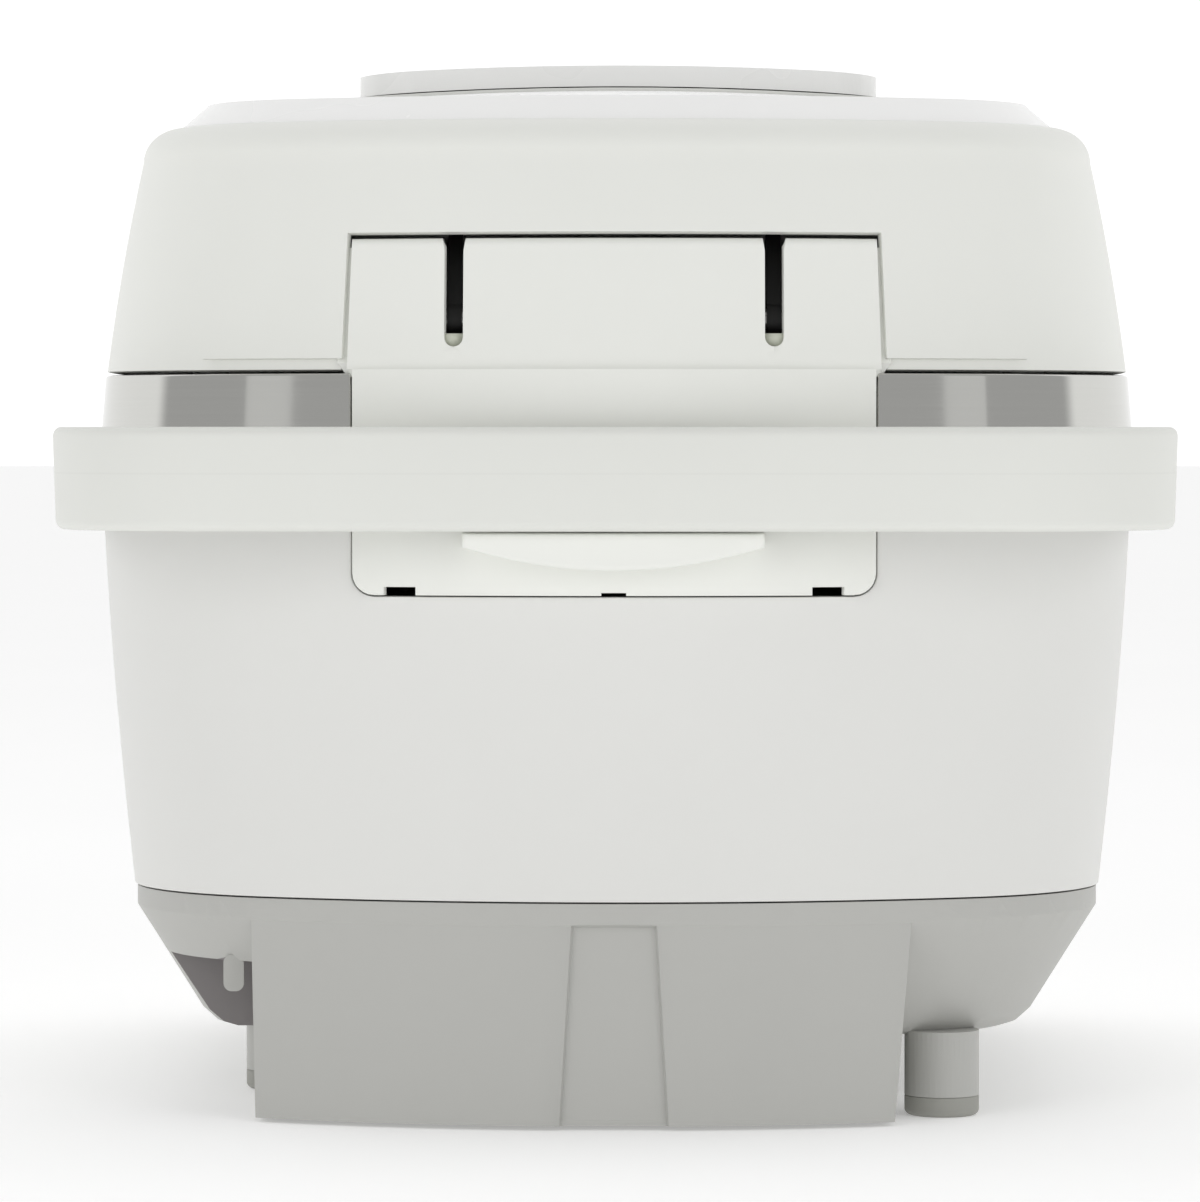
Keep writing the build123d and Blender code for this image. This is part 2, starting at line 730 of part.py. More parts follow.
with BuildPart() as board_bracket:
    for side in (-1, 1):
        with BuildSketch(Plane.XY.offset(board_bottom_z - 8)):
            with Locations((side * (board_half_width - 5), board_y + 2.5)):
                Rectangle(10, 5)
        extrude(amount=board_height + 8)
save(board_bracket, "board_bracket")

# ---------------------------------------------------------------- fan and cord reel
floor_z = housing_bottom_z + tub_floor
fan_bottom_z = floor_z + 1.0
fan_plane = Plane.XY.offset(fan_bottom_z)
fan_radius = fan_size / 2 - 3.0
with BuildPart() as fan_frame:
    with BuildSketch(fan_plane):
        with Locations((fan_x, fan_y)):
            RectangleRounded(fan_size, fan_size, 5)
            Circle(fan_radius, mode=Mode.SUBTRACT)
            with PolarLocations(fan_radius / 2, 4, start_angle=45):
                Rectangle(fan_radius + 2, 3)
            Circle(11)
    extrude(amount=2)
    with BuildSketch(fan_plane):
        with Locations((fan_x, fan_y)):
            RectangleRounded(fan_size, fan_size, 5)
            Circle(fan_radius, mode=Mode.SUBTRACT)
    extrude(amount=fan_height)
save(fan_frame, "fan_frame")

with BuildPart() as fan_impeller:
    with BuildSketch(fan_plane.offset(2.8)):
        with Locations((fan_x, fan_y)):
            Circle(10)
            with PolarLocations(17, fan_blades, start_angle=0):
                Rectangle(15.6, 3.0, rotation=24)
    extrude(amount=fan_height - 5)
save(fan_impeller, "fan_impeller")

reel_bottom_z = floor_z
with BuildPart() as reel_housing:
    with BuildSketch(Plane.XY.offset(reel_bottom_z)):
        with Locations((reel_x, reel_y)):
            Circle(reel_radius + 2.5)
    extrude(amount=2)
    with BuildSketch(Plane.XY.offset(reel_bottom_z)):
        with Locations((reel_x, reel_y)):
            Circle(reel_radius + 2.5)
            Circle(reel_radius + 0.8, mode=Mode.SUBTRACT)
    extrude(amount=18)
    with BuildSketch(Plane.XY.offset(reel_bottom_z)):
        with Locations((reel_x, reel_y)):
            Circle(4)
    extrude(amount=18)
save(reel_housing, "reel_housing")

with BuildPart() as reel_drum:
    for height, depth, radius in ((2.6, 1.6, reel_radius), (4.0, 11.0, 15.0), (15.0, 1.6, reel_radius)):
        with BuildSketch(Plane.XY.offset(reel_bottom_z + height)):
            with Locations((reel_x, reel_y)):
                Circle(radius)
                Circle(4 + running_gap, mode=Mode.SUBTRACT)
        extrude(amount=depth)
save(reel_drum, "reel_drum")

with BuildPart() as reel_cover:
    with BuildSketch(Plane.XY.offset(reel_bottom_z + 18.0)):
        with Locations((reel_x, reel_y)):
            Circle(reel_radius + 2.5)
    extrude(amount=1.6)
save(reel_cover, "reel_cover")

# ---------------------------------------------------------------- carrying handle
arm_inner_pivot = total_width / 2 - arm_thickness
handle_rear_half = total_width / 2 - arm_splay
bar_inner_y = handle_rear - handle_thickness


def bail_outline(inset, back):
    """Outline of the bail seen from above, round the rear bar and across the two arm ends."""
    half_front = total_width / 2 - inset
    half_rear = handle_rear_half - inset
    rear = handle_rear - back
    front = pivot_y - pivot_eye_radius
    with BuildSketch() as shape:
        with BuildLine():
            FilletPolyline((-half_front, front), (-half_rear, rear), (half_rear, rear),
                           (half_front, front), radius=handle_corner - inset)
            Line((half_front, front), (-half_front, front))
        make_face()
    return shape.sketch


with BuildPart() as handle:
    with BuildSketch(Plane.XY.offset(handle_bottom_z)):
        add(bail_outline(0, 0))
    extrude(amount=handle_height)
    with BuildSketch(Plane.XY.offset(handle_bottom_z)):
        add(bail_outline(arm_thickness, handle_thickness))
    extrude(amount=handle_height, mode=Mode.SUBTRACT)
    # side view: full height at the rear, tapering to the pivot eye
    with BuildSketch(Plane.YZ.offset(-total_width)):
        with BuildLine():
            Polyline((handle_rear - handle_corner, handle_bottom_z), (handle_rear, handle_bottom_z),
                     (handle_rear, handle_bottom_z + handle_height),
                     (handle_rear - handle_corner, handle_bottom_z + handle_height),
                     (pivot_y, pivot_z + pivot_eye_radius), (pivot_y, pivot_z - pivot_eye_radius),
                     close=True)
        make_face()
        with Locations((pivot_y, pivot_z)):
            Circle(pivot_eye_radius)
    extrude(amount=2 * total_width, mode=Mode.INTERSECT)
    with BuildSketch(Plane.YZ.offset(-arm_inner_pivot - 3.4)):
        with Locations((pivot_y, pivot_z)):
            Circle(pivot_pin_radius + running_gap)
    extrude(amount=2 * arm_inner_pivot + 6.8, mode=Mode.SUBTRACT)
save(handle, "handle")

pin_root = case_half_width - wall - 3.0
with BuildPart() as handle_pins:
    for side in (-1, 1):
        with BuildSketch(Plane.YZ.offset(side * pin_root)):
            with Locations((pivot_y, pivot_z)):
                Circle(pivot_pin_radius)
        extrude(amount=side * (arm_inner_pivot + 3.0 - pin_root))
save(handle_pins, "handle_pins")

# ---------------------------------------------------------------- lid
rim_hole_inset = crown_inset - part_gap
with BuildPart() as lid_outer_shell:
    add(stack(lid_levels(0.0, rim_z)))
    add(stack(lid_levels(wall, rim_z - wall)), mode=Mode.SUBTRACT)
    with BuildSketch(Plane.XY.offset(rim_z - 2 * wall)):
        add(section(0, rim_hole_inset, rear_lean_at_rim))
    extrude(amount=3 * wall, mode=Mode.SUBTRACT)
    with BuildSketch(Plane.XZ.offset(-hinge_y + 40)):
        with BuildLine():
            Polyline((-notch_half_width_bottom, lid_bottom_z - 1), (-notch_half_width_top, notch_top_z),
                     (notch_half_width_top, notch_top_z), (notch_half_width_bottom, lid_bottom_z - 1),
                     close=True)
        make_face()
    extrude(amount=-total_depth / 2, mode=Mode.SUBTRACT)
    # opening for the latch button
    with BuildSketch(Plane.XZ.offset(-case_front)):
        with Locations((0, (button_bottom_z + button_top_z) / 2)):
            RectangleRounded(2 * button_half_width + 2 * part_gap,
                             button_top_z - button_bottom_z + 2 * part_gap, 3.4)
    extrude(amount=20, both=True, mode=Mode.SUBTRACT)
save(lid_outer_shell, "lid_outer_shell")

panel_bottom_z = crown_crest_z - 12.0
with BuildPart() as lid_top_bezel:
    add(crown_solid(0.0, 0.0))
    add(crown_solid(wall, wall), mode=Mode.SUBTRACT)
    with BuildSketch(Plane.XY.offset(rim_z - 5)):
        add(panel_shape(panel_inset - part_gap))
    extrude(amount=30, mode=Mode.SUBTRACT)
save(lid_top_bezel, "lid_top_bezel")

key_places = {
    "start_key": (66.0, -68.0), "cancel_key": (-66.0, -68.0),
    "menu_key": (-36.0, -116.0), "hour_key": (-12.0, -116.0),
    "minute_key": (12.0, -116.0), "timer_key": (36.0, -116.0),
    "warm_key": (-66.0, -100.0), "clock_key": (66.0, -100.0)}
round_keys = ("start_key", "cancel_key")


def key_outline(name, grow):
    """Plan outline of one key, enlarged all round by grow."""
    with Locations(key_places[name]):
        if name in round_keys:
            Circle(round_key_radius + grow)
        else:
            RectangleRounded(small_key_length + 2 * grow, small_key_width + 2 * grow, 3 + grow)


with BuildPart() as lid_top_panel:
    with BuildSketch(Plane.XY.offset(panel_bottom_z)):
        add(panel_shape(panel_inset))
        with Locations((0, lcd_y)):
            RectangleRounded(lcd_length + 2 * key_gap, lcd_width + 2 * key_gap, 4, mode=Mode.SUBTRACT)
        with Locations((0, steam_cap_y)):
            RectangleRounded(bowl_length, bowl_width, 10, mode=Mode.SUBTRACT)
    extrude(amount=30)
    for name in key_places:
        with BuildSketch(Plane.XY.offset(panel_bottom_z)):
            key_outline(name, key_gap)
        extrude(amount=30, mode=Mode.SUBTRACT)
    add(above_crown(panel_lift), mode=Mode.SUBTRACT)
    add(above_crown(panel_lift - panel_depth), mode=Mode.INTERSECT)
save(lid_top_panel, "lid_top_panel")


def crowned_plug(outline, bottom_z, lift):
    """Upright plug with the given plan outline, its top on the crown raised by lift."""
    with BuildPart() as plug:
        with BuildSketch(Plane.XY.offset(bottom_z)):
            add(outline)
        extrude(amount=30)
        add(above_crown(lift), mode=Mode.SUBTRACT)
    return plug.part


with BuildSketch() as lcd_shape:
    with Locations((0, lcd_y)):
        RectangleRounded(lcd_length, lcd_width, 4)
with BuildPart() as lcd_window:
    add(crowned_plug(lcd_shape.sketch, crown_crest_z - 30, panel_lift))
    add(above_crown(panel_lift - 2.0), mode=Mode.INTERSECT)
save(lcd_window, "lcd_window")

board_top_z = board_z + board_thickness
key_bottom_z = crown_crest_z + panel_lift - key_depth - 3.0
switch_height = key_bottom_z - key_travel - 0.2 - board_top_z
with BuildPart() as lcd_module:
    with BuildSketch(Plane.XY.offset(board_top_z)):
        with Locations((0, lcd_y)):
            RectangleRounded(lcd_length - 6, lcd_width - 6, 1)
    extrude(amount=8.0)
save(lcd_module, "lcd_module")

with BuildPart() as control_board:
    with BuildSketch(Plane.XY.offset(board_z)):
        with Locations((0, (key_places["start_key"][1] + key_places["menu_key"][1]) / 2)):
            RectangleRounded(172, 76, 4)
    extrude(amount=board_thickness)
save(control_board, "control_board")

with BuildPart() as key_switches:
    with BuildSketch(Plane.XY.offset(board_top_z)):
        with Locations(*key_places.values()):
            Rectangle(6, 6)
    extrude(amount=switch_height - 0.6)
    with BuildSketch(Plane.XY.offset(board_top_z)):
        with Locations(*key_places.values()):
            Circle(1.8)
    extrude(amount=switch_height)
save(key_switches, "key_switches")

for name in key_places:
    with BuildSketch() as key_shape:
        key_outline(name, 0.0)
    with BuildPart() as key:
        add(crowned_plug(key_shape.sketch, crown_crest_z + panel_lift - key_depth, panel_lift + key_lift))
        with BuildSketch(Plane.XY.offset(key_bottom_z)):
            with Locations(key_places[name]):
                Circle(2.6)
        extrude(amount=key_depth - 1)
    save(key, name)

# ---------------------------------------------------------------- steam cap and its bowl
bowl_top_z = crown_crest_z + panel_lift - panel_depth - 0.6
bowl_bottom_z = crown_crest_z - bowl_depth
with BuildPart() as steam_bowl:
    with BuildSketch(Plane.XY.offset(bowl_bottom_z)):
        with Locations((0, steam_cap_y)):
            RectangleRounded(bowl_length - 2, bowl_width - 2, 9)
    extrude(amount=bowl_top_z - bowl_bottom_z)
    with BuildSketch(Plane.XY.offset(bowl_bottom_z + 2)):
        with Locations((0, steam_cap_y)):
            RectangleRounded(bowl_length - 6, bowl_width - 6, 7)
    extrude(amount=bowl_top_z, mode=Mode.SUBTRACT)
    with BuildSketch(Plane.XY.offset(bowl_bottom_z)):
        with Locations((0, steam_cap_y)):
            Circle(9)
    extrude(amount=2, mode=Mode.SUBTRACT)
save(steam_bowl, "steam_bowl")

cap_end_drop = 2.4
cap_reach = steam_cap_length / 2 + 2.0
with BuildPart() as steam_cap:
    with BuildSketch(Plane.XY.offset(rim_z)):
        with Locations((0, steam_cap_y)):
            RectangleRounded(steam_cap_length, steam_cap_width, 17)
    extrude(amount=30)
    add(above_crown(panel_lift + steam_cap_gap), mode=Mode.INTERSECT)
    with BuildSketch(Plane.XZ.offset(-steam_cap_y)):
        with BuildLine():
            low = steam_cap_top_z - cap_end_drop
            ThreePointArc((-cap_reach, low), (0, steam_cap_top_z), (cap_reach, low))
            Polyline((cap_reach, low), (cap_reach, rim_z), (-cap_reach, rim_z), (-cap_reach, low))
        make_face()
    extrude(amount=steam_cap_width, both=True, mode=Mode.INTERSECT)
    # steam outlets
    with BuildSketch(Plane.XY.offset(rim_z)):
        with Locations((0, steam_cap_y)):
            with GridLocations(9, 0, 5, 1):
                SlotOverall(24, 3.2, rotation=90)
    extrude(amount=30, mode=Mode.SUBTRACT)
save(steam_cap, "steam_cap")

insert_gap = 0.6
with BuildPart() as steam_cap_base:
    with BuildSketch(Plane.XY.offset(bowl_bottom_z + 5)):
        with Locations((0, steam_cap_y)):
            RectangleRounded(bowl_length - 6 - 2 * insert_gap, bowl_width - 6 - 2 * insert_gap, 6)
    extrude(amount=30)
    with BuildSketch(Plane.XY.offset(bowl_bottom_z + 7)):
        with Locations((0, steam_cap_y)):
            RectangleRounded(bowl_length - 12, bowl_width - 12, 4)
    extrude(amount=30, mode=Mode.SUBTRACT)
    with BuildSketch(Plane.XY.offset(bowl_bottom_z + 5)):
        with Locations((-38, steam_cap_y), (38, steam_cap_y)):
            Circle(5)
    extrude(amount=3, mode=Mode.SUBTRACT)
    add(above_crown(panel_lift + steam_cap_gap), mode=Mode.SUBTRACT)
save(steam_cap_base, "steam_cap_base")

# ---------------------------------------------------------------- inside of the lid
frame_top = frame_plate_z + frame_plate_thickness
plate_inset = lid_inset(frame_top) + wall + 0.4
trough_outer = trough_radius + trough_wall
trough_half = notch_half_width_bottom + 0.4
with BuildPart() as trough_room:
    with BuildSketch(Plane.YZ.offset(-trough_half - trough_wall)):
        with Locations((hinge_y, hinge_z)):
            Circle(trough_radius)
    extrude(amount=2 * (trough_half + trough_wall))
with BuildPart() as lid_inner_frame:
    with BuildSketch(Plane.XY.offset(frame_plate_z)):
        add(section(0, plate_inset))
        with Locations((0, hinge_y)):
            Rectangle(2 * (trough_half + trough_wall), 2 * trough_radius, mode=Mode.SUBTRACT)
        with Locations((0, pot_y)):
            Circle(cup_radius - 2, mode=Mode.SUBTRACT)
        with Locations((0, catch_edge_y - catch_slot_depth / 2)):
            Rectangle(2 * catch_slot_half, catch_slot_depth + 4, mode=Mode.SUBTRACT)
    extrude(amount=frame_plate_thickness)
    # cup that holds the inner lid
    with BuildSketch(Plane.XY.offset(frame_plate_z)):
        with Locations((0, pot_y)):
            Circle(cup_radius)
            Circle(cup_radius - 2, mode=Mode.SUBTRACT)
    extrude(amount=cup_height)
    with BuildSketch(Plane.XY.offset(frame_plate_z + cup_height - 2)):
        with Locations((0, pot_y)):
            Circle(cup_radius)
            Circle(11, mode=Mode.SUBTRACT)
    extrude(amount=2)
    # trough that swings over the barrel of the hinge cover
    with BuildSketch(Plane.YZ.offset(-trough_half)):
        with BuildLine():
            trough_angles = (106, 148, 190)
            inner = [(hinge_y + trough_radius * cos(radians(a)), hinge_z + trough_radius * sin(radians(a)))
                     for a in trough_angles]
            outer = [(hinge_y + trough_outer * cos(radians(a)), hinge_z + trough_outer * sin(radians(a)))
                     for a in trough_angles]
            ThreePointArc(*inner)
            ThreePointArc(*outer)
            Line(inner[0], outer[0])
            Line(inner[2], outer[2])
        make_face()
    extrude(amount=2 * trough_half)
    for side in (-1, 1):
        with BuildSketch(Plane.YZ.offset(side * trough_half)):
            Polygon((hinge_y - 24, frame_plate_z), (hinge_y - 1, frame_plate_z),
                    (hinge_y - 8, notch_top_z + 4), (hinge_y - 24, notch_top_z + 4), align=None)
        extrude(amount=side * trough_wall)
    # ears that carry the latch hook
    for side in (-1, 1):
        with BuildSketch(Plane.YZ.offset(side * (hook_half_width + 3))):
            with BuildLine():
                Polyline((hook_pivot_y - 6, frame_plate_z), (hook_pivot_y - 6, hook_pivot_z + 5),
                         (hook_pivot_y + 6, hook_pivot_z + 5), (hook_pivot_y + 12, frame_plate_z),
                         close=True)
            make_face()
            with Locations((hook_pivot_y, hook_pivot_z)):
                Circle(hook_pin_radius + running_gap, mode=Mode.SUBTRACT)
        extrude(amount=side * 3)
save(lid_inner_frame, "lid_inner_frame")

with BuildPart() as lid_hinge_arms:
    for side in (-1, 1):
        with BuildSketch(Plane.YZ.offset(side * slot_x - hinge_arm_thickness / 2)):
            with BuildLine():
                arm_angles = (108, 132, 156)
                rim = [(hinge_y + trough_radius * cos(radians(a)), hinge_z + trough_radius * sin(radians(a)))
                       for a in arm_angles]
                ThreePointArc(*rim)
                Polyline(rim[2], (hinge_y - 3.4, hinge_z - 3.4), (hinge_y + 3.4, hinge_z + 3.4), rim[0])
            make_face()
            with Locations((hinge_y, hinge_z)):
                Circle(shaft_radius + 2.0)
                Circle(shaft_radius + running_gap, mode=Mode.SUBTRACT)
        extrude(amount=hinge_arm_thickness)
save(lid_hinge_arms, "lid_hinge_arms")

inner_lid_z = frame_plate_z - 0.5
with BuildPart() as inner_lid:
    with BuildSketch(Plane.XZ.offset(-pot_y)):
        with BuildLine():
            Polyline((0, inner_lid_z + 4), (inner_lid_radius - 14, inner_lid_z + 2.6),
                     (inner_lid_radius - 10, inner_lid_z), (inner_lid_radius, inner_lid_z),
                     (inner_lid_radius, inner_lid_z + 1.2), (inner_lid_radius - 9.6, inner_lid_z + 1.2),
                     (inner_lid_radius - 13.6, inner_lid_z + 3.8), (0, inner_lid_z + 5.2), close=True)
        make_face()
    revolve(axis=Axis((0, pot_y, 0), (0, 0, 1)))
    with BuildSketch(Plane.XY.offset(inner_lid_z)):
        with Locations((0, pot_y)):
            with PolarLocations(5.5, 6):
                Circle(1.6)
    extrude(amount=8, mode=Mode.SUBTRACT)
save(inner_lid, "inner_lid")

gasket_bottom_z = frame_top_z + 0.4
with BuildPart() as inner_lid_gasket:
    with BuildSketch(Plane.XY.offset(gasket_bottom_z)):
        with Locations((0, pot_y)):
            Circle(gasket_radius)
            Circle(inner_lid_radius, mode=Mode.SUBTRACT)
    extrude(amount=inner_lid_z + 3.0 - gasket_bottom_z)
save(inner_lid_gasket, "inner_lid_gasket")

ceiling_z = frame_plate_z + cup_height - 2
with BuildPart() as lid_heater_plate:
    with BuildSketch(Plane.XY.offset(ceiling_z - 1.5)):
        with Locations((0, pot_y)):
            Circle(98)
            Circle(13, mode=Mode.SUBTRACT)
    extrude(amount=1.5)
save(lid_heater_plate, "lid_heater_plate")

with BuildPart() as inner_lid_clips:
    with BuildSketch(Plane.XY.offset(inner_lid_z + 1.2)):
        with Locations((0, pot_y)):
            with PolarLocations(103.5, 2, start_angle=45):
                Rectangle(7, 16)
    extrude(amount=ceiling_z - inner_lid_z - 1.2)
save(inner_lid_clips, "inner_lid_clips")

with BuildPart() as steam_duct:
    with BuildSketch(Plane.XY.offset(ceiling_z)):
        with Locations((0, pot_y)):
            Circle(11)
            Circle(9, mode=Mode.SUBTRACT)
    extrude(amount=bowl_bottom_z - ceiling_z)
save(steam_duct, "steam_duct")

with BuildPart() as lid_bumpers:
    with BuildSketch(Plane.XY.offset(frame_top_z + 0.2)):
        with Locations((-98, 118), (98, 118), (-96, -128), (96, -128)):
            Circle(3)
    extrude(amount=frame_plate_z - frame_top_z - 0.2)
save(lid_bumpers, "lid_bumpers")

# ---------------------------------------------------------------- latch
with BuildPart() as button_room:
    with BuildSketch(Plane.XZ.offset(-case_front)):
        with Locations((0, (button_bottom_z + button_top_z) / 2)):
            RectangleRounded(2 * button_half_width, button_top_z - button_bottom_z, 3.0)
    extrude(amount=-14)
with BuildPart() as latch_button:
    add(stack([(button_bottom_z - 1, lid_inset(button_bottom_z - 1) - button_lift),
               (button_top_z + 1, lid_inset(button_top_z + 1) - button_lift)]))
    add(button_room.part, mode=Mode.INTERSECT)
    with BuildSketch(Plane.XZ.offset(-case_front - 14)):
        with Locations((0, hook_pivot_z + 18.5)):
            Rectangle(8, 3)
    extrude(amount=-(hook_pivot_y - hook_thickness / 2 - 0.3 - case_front - 14))
save(latch_button, "latch_button")

nose_top_z = frame_top_z - frame_thickness - 0.5
with BuildPart() as latch_hook:
    with BuildSketch(Plane.YZ.offset(-hook_half_width)):
        with BuildLine():
            back = hook_pivot_y - hook_thickness / 2
            face = hook_pivot_y + hook_thickness / 2
            Polyline((back, hook_pivot_z + 22), (back, nose_top_z - 4), (face + 1.0, nose_top_z - 4),
                     (catch_edge_y + 2.4, nose_top_z - 1.5), (catch_edge_y + 2.4, nose_top_z),
                     (face, nose_top_z), (face, hook_pivot_z + 22), close=True)
        make_face()
        with Locations((hook_pivot_y, hook_pivot_z)):
            Circle(5)
            Circle(hook_pin_radius + running_gap, mode=Mode.SUBTRACT)
    extrude(amount=2 * hook_half_width)
save(latch_hook, "latch_hook")

with BuildPart() as latch_pin:
    with BuildSketch(Plane.YZ.offset(-hook_half_width - 7)):
        with Locations((hook_pivot_y, hook_pivot_z)):
            Circle(hook_pin_radius)
    extrude(amount=2 * hook_half_width + 14)
save(latch_pin, "latch_pin")
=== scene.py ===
import json
import logging
from dataclasses import dataclass, field
from enum import Enum
from math import radians

import bmesh
import bpy
import numpy as np
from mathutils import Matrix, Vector

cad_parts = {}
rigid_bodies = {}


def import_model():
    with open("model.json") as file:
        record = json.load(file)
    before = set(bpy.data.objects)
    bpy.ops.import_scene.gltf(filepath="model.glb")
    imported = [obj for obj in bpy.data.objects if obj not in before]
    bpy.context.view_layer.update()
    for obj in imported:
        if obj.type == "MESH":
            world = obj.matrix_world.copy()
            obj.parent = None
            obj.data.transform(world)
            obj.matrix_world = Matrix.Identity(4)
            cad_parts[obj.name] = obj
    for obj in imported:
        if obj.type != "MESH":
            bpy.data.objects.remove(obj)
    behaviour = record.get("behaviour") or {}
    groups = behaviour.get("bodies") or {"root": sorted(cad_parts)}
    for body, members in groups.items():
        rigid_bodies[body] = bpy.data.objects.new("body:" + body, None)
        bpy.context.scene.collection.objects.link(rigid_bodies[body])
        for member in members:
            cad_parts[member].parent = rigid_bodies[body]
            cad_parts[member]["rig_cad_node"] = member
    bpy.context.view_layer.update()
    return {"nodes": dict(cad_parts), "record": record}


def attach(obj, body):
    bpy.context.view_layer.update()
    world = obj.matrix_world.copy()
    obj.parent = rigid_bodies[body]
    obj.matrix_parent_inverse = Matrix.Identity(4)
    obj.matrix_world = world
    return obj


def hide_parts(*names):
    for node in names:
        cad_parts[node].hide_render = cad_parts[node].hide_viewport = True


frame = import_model()

# Rice cooker with an induction base. Sizes are millimetres and turn to metres when a mesh is made.
# +Z is up, +Y the hinge side, -Y the control side; the origin is on the floor under the middle.

log = logging.getLogger("rice_cooker")
MM = 0.001
EDGE_ANGLE = 32.0  # degrees between faces, past which an edge is rounded
WELD = 0.002  # mm between points of one surface that count as the same
PART_WELD = 0.003  # mm, the same for a designed part
FLAT_ANGLE = 0.4  # degrees between faces that count as one flat face
REAR_END = 100.0  # mm along y, past which a cell belongs to the rear end; past its negative, to the front
LID_BASE_INSET, LID_LEAN, LID_CURVE = 2.0, 0.125, 0.0009  # the lid side's inset, by powers of height in mm
REAR_LEAN = 0.045  # how far the lid's rear leans forward for each mm of height


class Side(Enum):
    """The two long sides of the case."""

    LEFT = -1
    RIGHT = 1


class Grain(Enum):
    """Moulded surface textures: (pitch in mm, bump height in mm)."""

    POLISHED = (1.6, 0.004)
    SATIN = (0.9, 0.010)
    SPARK_ERODED = (0.7, 0.022)
    COARSE = (0.9, 0.040)


# ------------------------------------------------------------------ meshes
@dataclass
class Grid:
    """Points on rows and columns, with the cells that are kept.

    Args:
        points: array of rows x columns x 3, in millimetres.
        closed: whether the last column joins the first.
        keep: one true or false for each cell, or None to keep them all.
        cap_first: close the first row with one face.
        cap_last: close the last row with one face.
    """

    points: np.ndarray
    closed: bool = True
    keep: np.ndarray | None = None
    cap_first: bool = False
    cap_last: bool = False

    def faces(self, start: int) -> list[list[int]]:
        """List the faces, each seen from outside when rows go up and columns go anticlockwise.

        Args:
            start: number of the grid's first vertex in the finished mesh.

        Returns:
            One list of vertex numbers for each face.
        """
        rows, columns = self.points.shape[:2]
        number = np.arange(rows * columns).reshape(rows, columns) + start
        right = np.roll(number, -1, axis=1)
        cells = np.stack([number[:-1], right[:-1], right[1:], number[1:]], axis=-1)
        if not self.closed:
            cells = cells[:, :-1]
        cells = cells.reshape(-1, 4) if self.keep is None else cells[self.keep]
        faces = cells.tolist()
        if self.cap_first:
            faces.append(number[0, ::-1].tolist())
        if self.cap_last:
            faces.append(number[-1].tolist())
        return faces


def mesh_object(name: str, grids: list[Grid]) -> bpy.types.Object:
    """Weld grids into one smooth mesh object at the origin.

    Args:
        name: name of the piece.
        grids: the surfaces that make it up.

    Returns:
        The new object, with unused and doubled vertices gone.
    """
    points, faces, start = [], [], 0
    for grid in grids:
        points.append(grid.points.reshape(-1, 3))
        faces += grid.faces(start)
        start += len(points[-1])
    mesh = bpy.data.meshes.new(name)
    mesh.from_pydata((np.concatenate(points) * MM).tolist(), [], faces)
    shape = bmesh.new()
    shape.from_mesh(mesh)
    bmesh.ops.remove_doubles(shape, verts=shape.verts, dist=WELD * MM)
    loose = [vertex for vertex in shape.verts if not vertex.link_faces]
    bmesh.ops.delete(shape, geom=loose, context="VERTS")
    shape.to_mesh(mesh)
    shape.free()
    mesh.shade_smooth()
    piece = bpy.data.objects.new(name, mesh)
    bpy.context.scene.collection.objects.link(piece)
    return piece


def thicken(piece: bpy.types.Object, wall: float) -> None:
    """Give an open sheet a wall that grows inwards.

    Args:
        piece: the sheet, its faces pointing outwards.
        wall: thickness in millimetres.
    """
    solid = piece.modifiers.new("Wall", "SOLIDIFY")
    solid.thickness = wall * MM
    solid.offset = -1.0
    solid.use_even_offset = False


def round_edges(piece: bpy.types.Object, width: float, angle: float = EDGE_ANGLE,
                steps: int = 3) -> None:
    """Round every edge sharper than an angle.

    Args:
        piece: the object to finish.
        width: width of the rounding in millimetres.
        angle: smallest turn, in degrees, that counts as an edge.
        steps: faces across the rounding.
    """
    bevel = piece.modifiers.new("Rounding", "BEVEL")
    bevel.width = width * MM
    bevel.segments = steps
    bevel.limit_method = "ANGLE"
    bevel.angle_limit = radians(angle)
    bevel.harden_normals = True


def softened(node: str, width: float, body: str) -> bpy.types.Object:
    """Copy a designed part and round its edges as a mould would.

    Args:
        node: name of the part, which the copy stands for.
        width: width of the rounding in millimetres.
        body: the body it rides on.

    Returns:
        The rounded copy.
    """
    shape = bmesh.new()
    shape.from_mesh(frame["nodes"][node].data)
    bmesh.ops.remove_doubles(shape, verts=shape.verts, dist=PART_WELD * MM)
    bmesh.ops.dissolve_limit(shape, angle_limit=radians(FLAT_ANGLE), verts=shape.verts, edges=shape.edges)
    mesh = bpy.data.meshes.new(node + "_soft")
    shape.to_mesh(mesh)
    shape.free()
    mesh.shade_smooth()
    mesh.set_sharp_from_angle(angle=radians(EDGE_ANGLE))
    piece = bpy.data.objects.new(node + "_soft", mesh)
    bpy.context.scene.collection.objects.link(piece)
    round_edges(piece, width)
    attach(piece, body)
    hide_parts(node)
    return piece


# ------------------------------------------------------------------ finishes
def linear(colour: str) -> tuple[float, float, float, float]:
    """Turn an sRGB hex colour such as "E4E5E0" into linear red, green, blue and alpha."""
    part = np.array([int(colour[place:place + 2], 16) for place in (0, 2, 4)]) / 255.0
    value = np.where(part <= 0.04045, part / 12.92, ((part + 0.055) / 1.055) ** 2.4)
    return (float(value[0]), float(value[1]), float(value[2]), 1.0)


def add_node(tree: bpy.types.NodeTree, kind: str, settings: dict | None = None,
             links: dict | None = None) -> bpy.types.Node:
    """Add one node with its settings and links.

    Args:
        tree: the node tree.
        kind: the node's type name.
        settings: properties by name, or input sockets by name or number.
        links: output sockets for the inputs that they feed, by name or number.

    Returns:
        The new node.
    """
    made = tree.nodes.new(kind)
    for key, value in (settings or {}).items():
        if isinstance(key, str) and key in made.bl_rna.properties:
            setattr(made, key, value)
        else:
            made.inputs[key].default_value = value
    for key, source in (links or {}).items():
        tree.links.new(source, made.inputs[key])
    return made


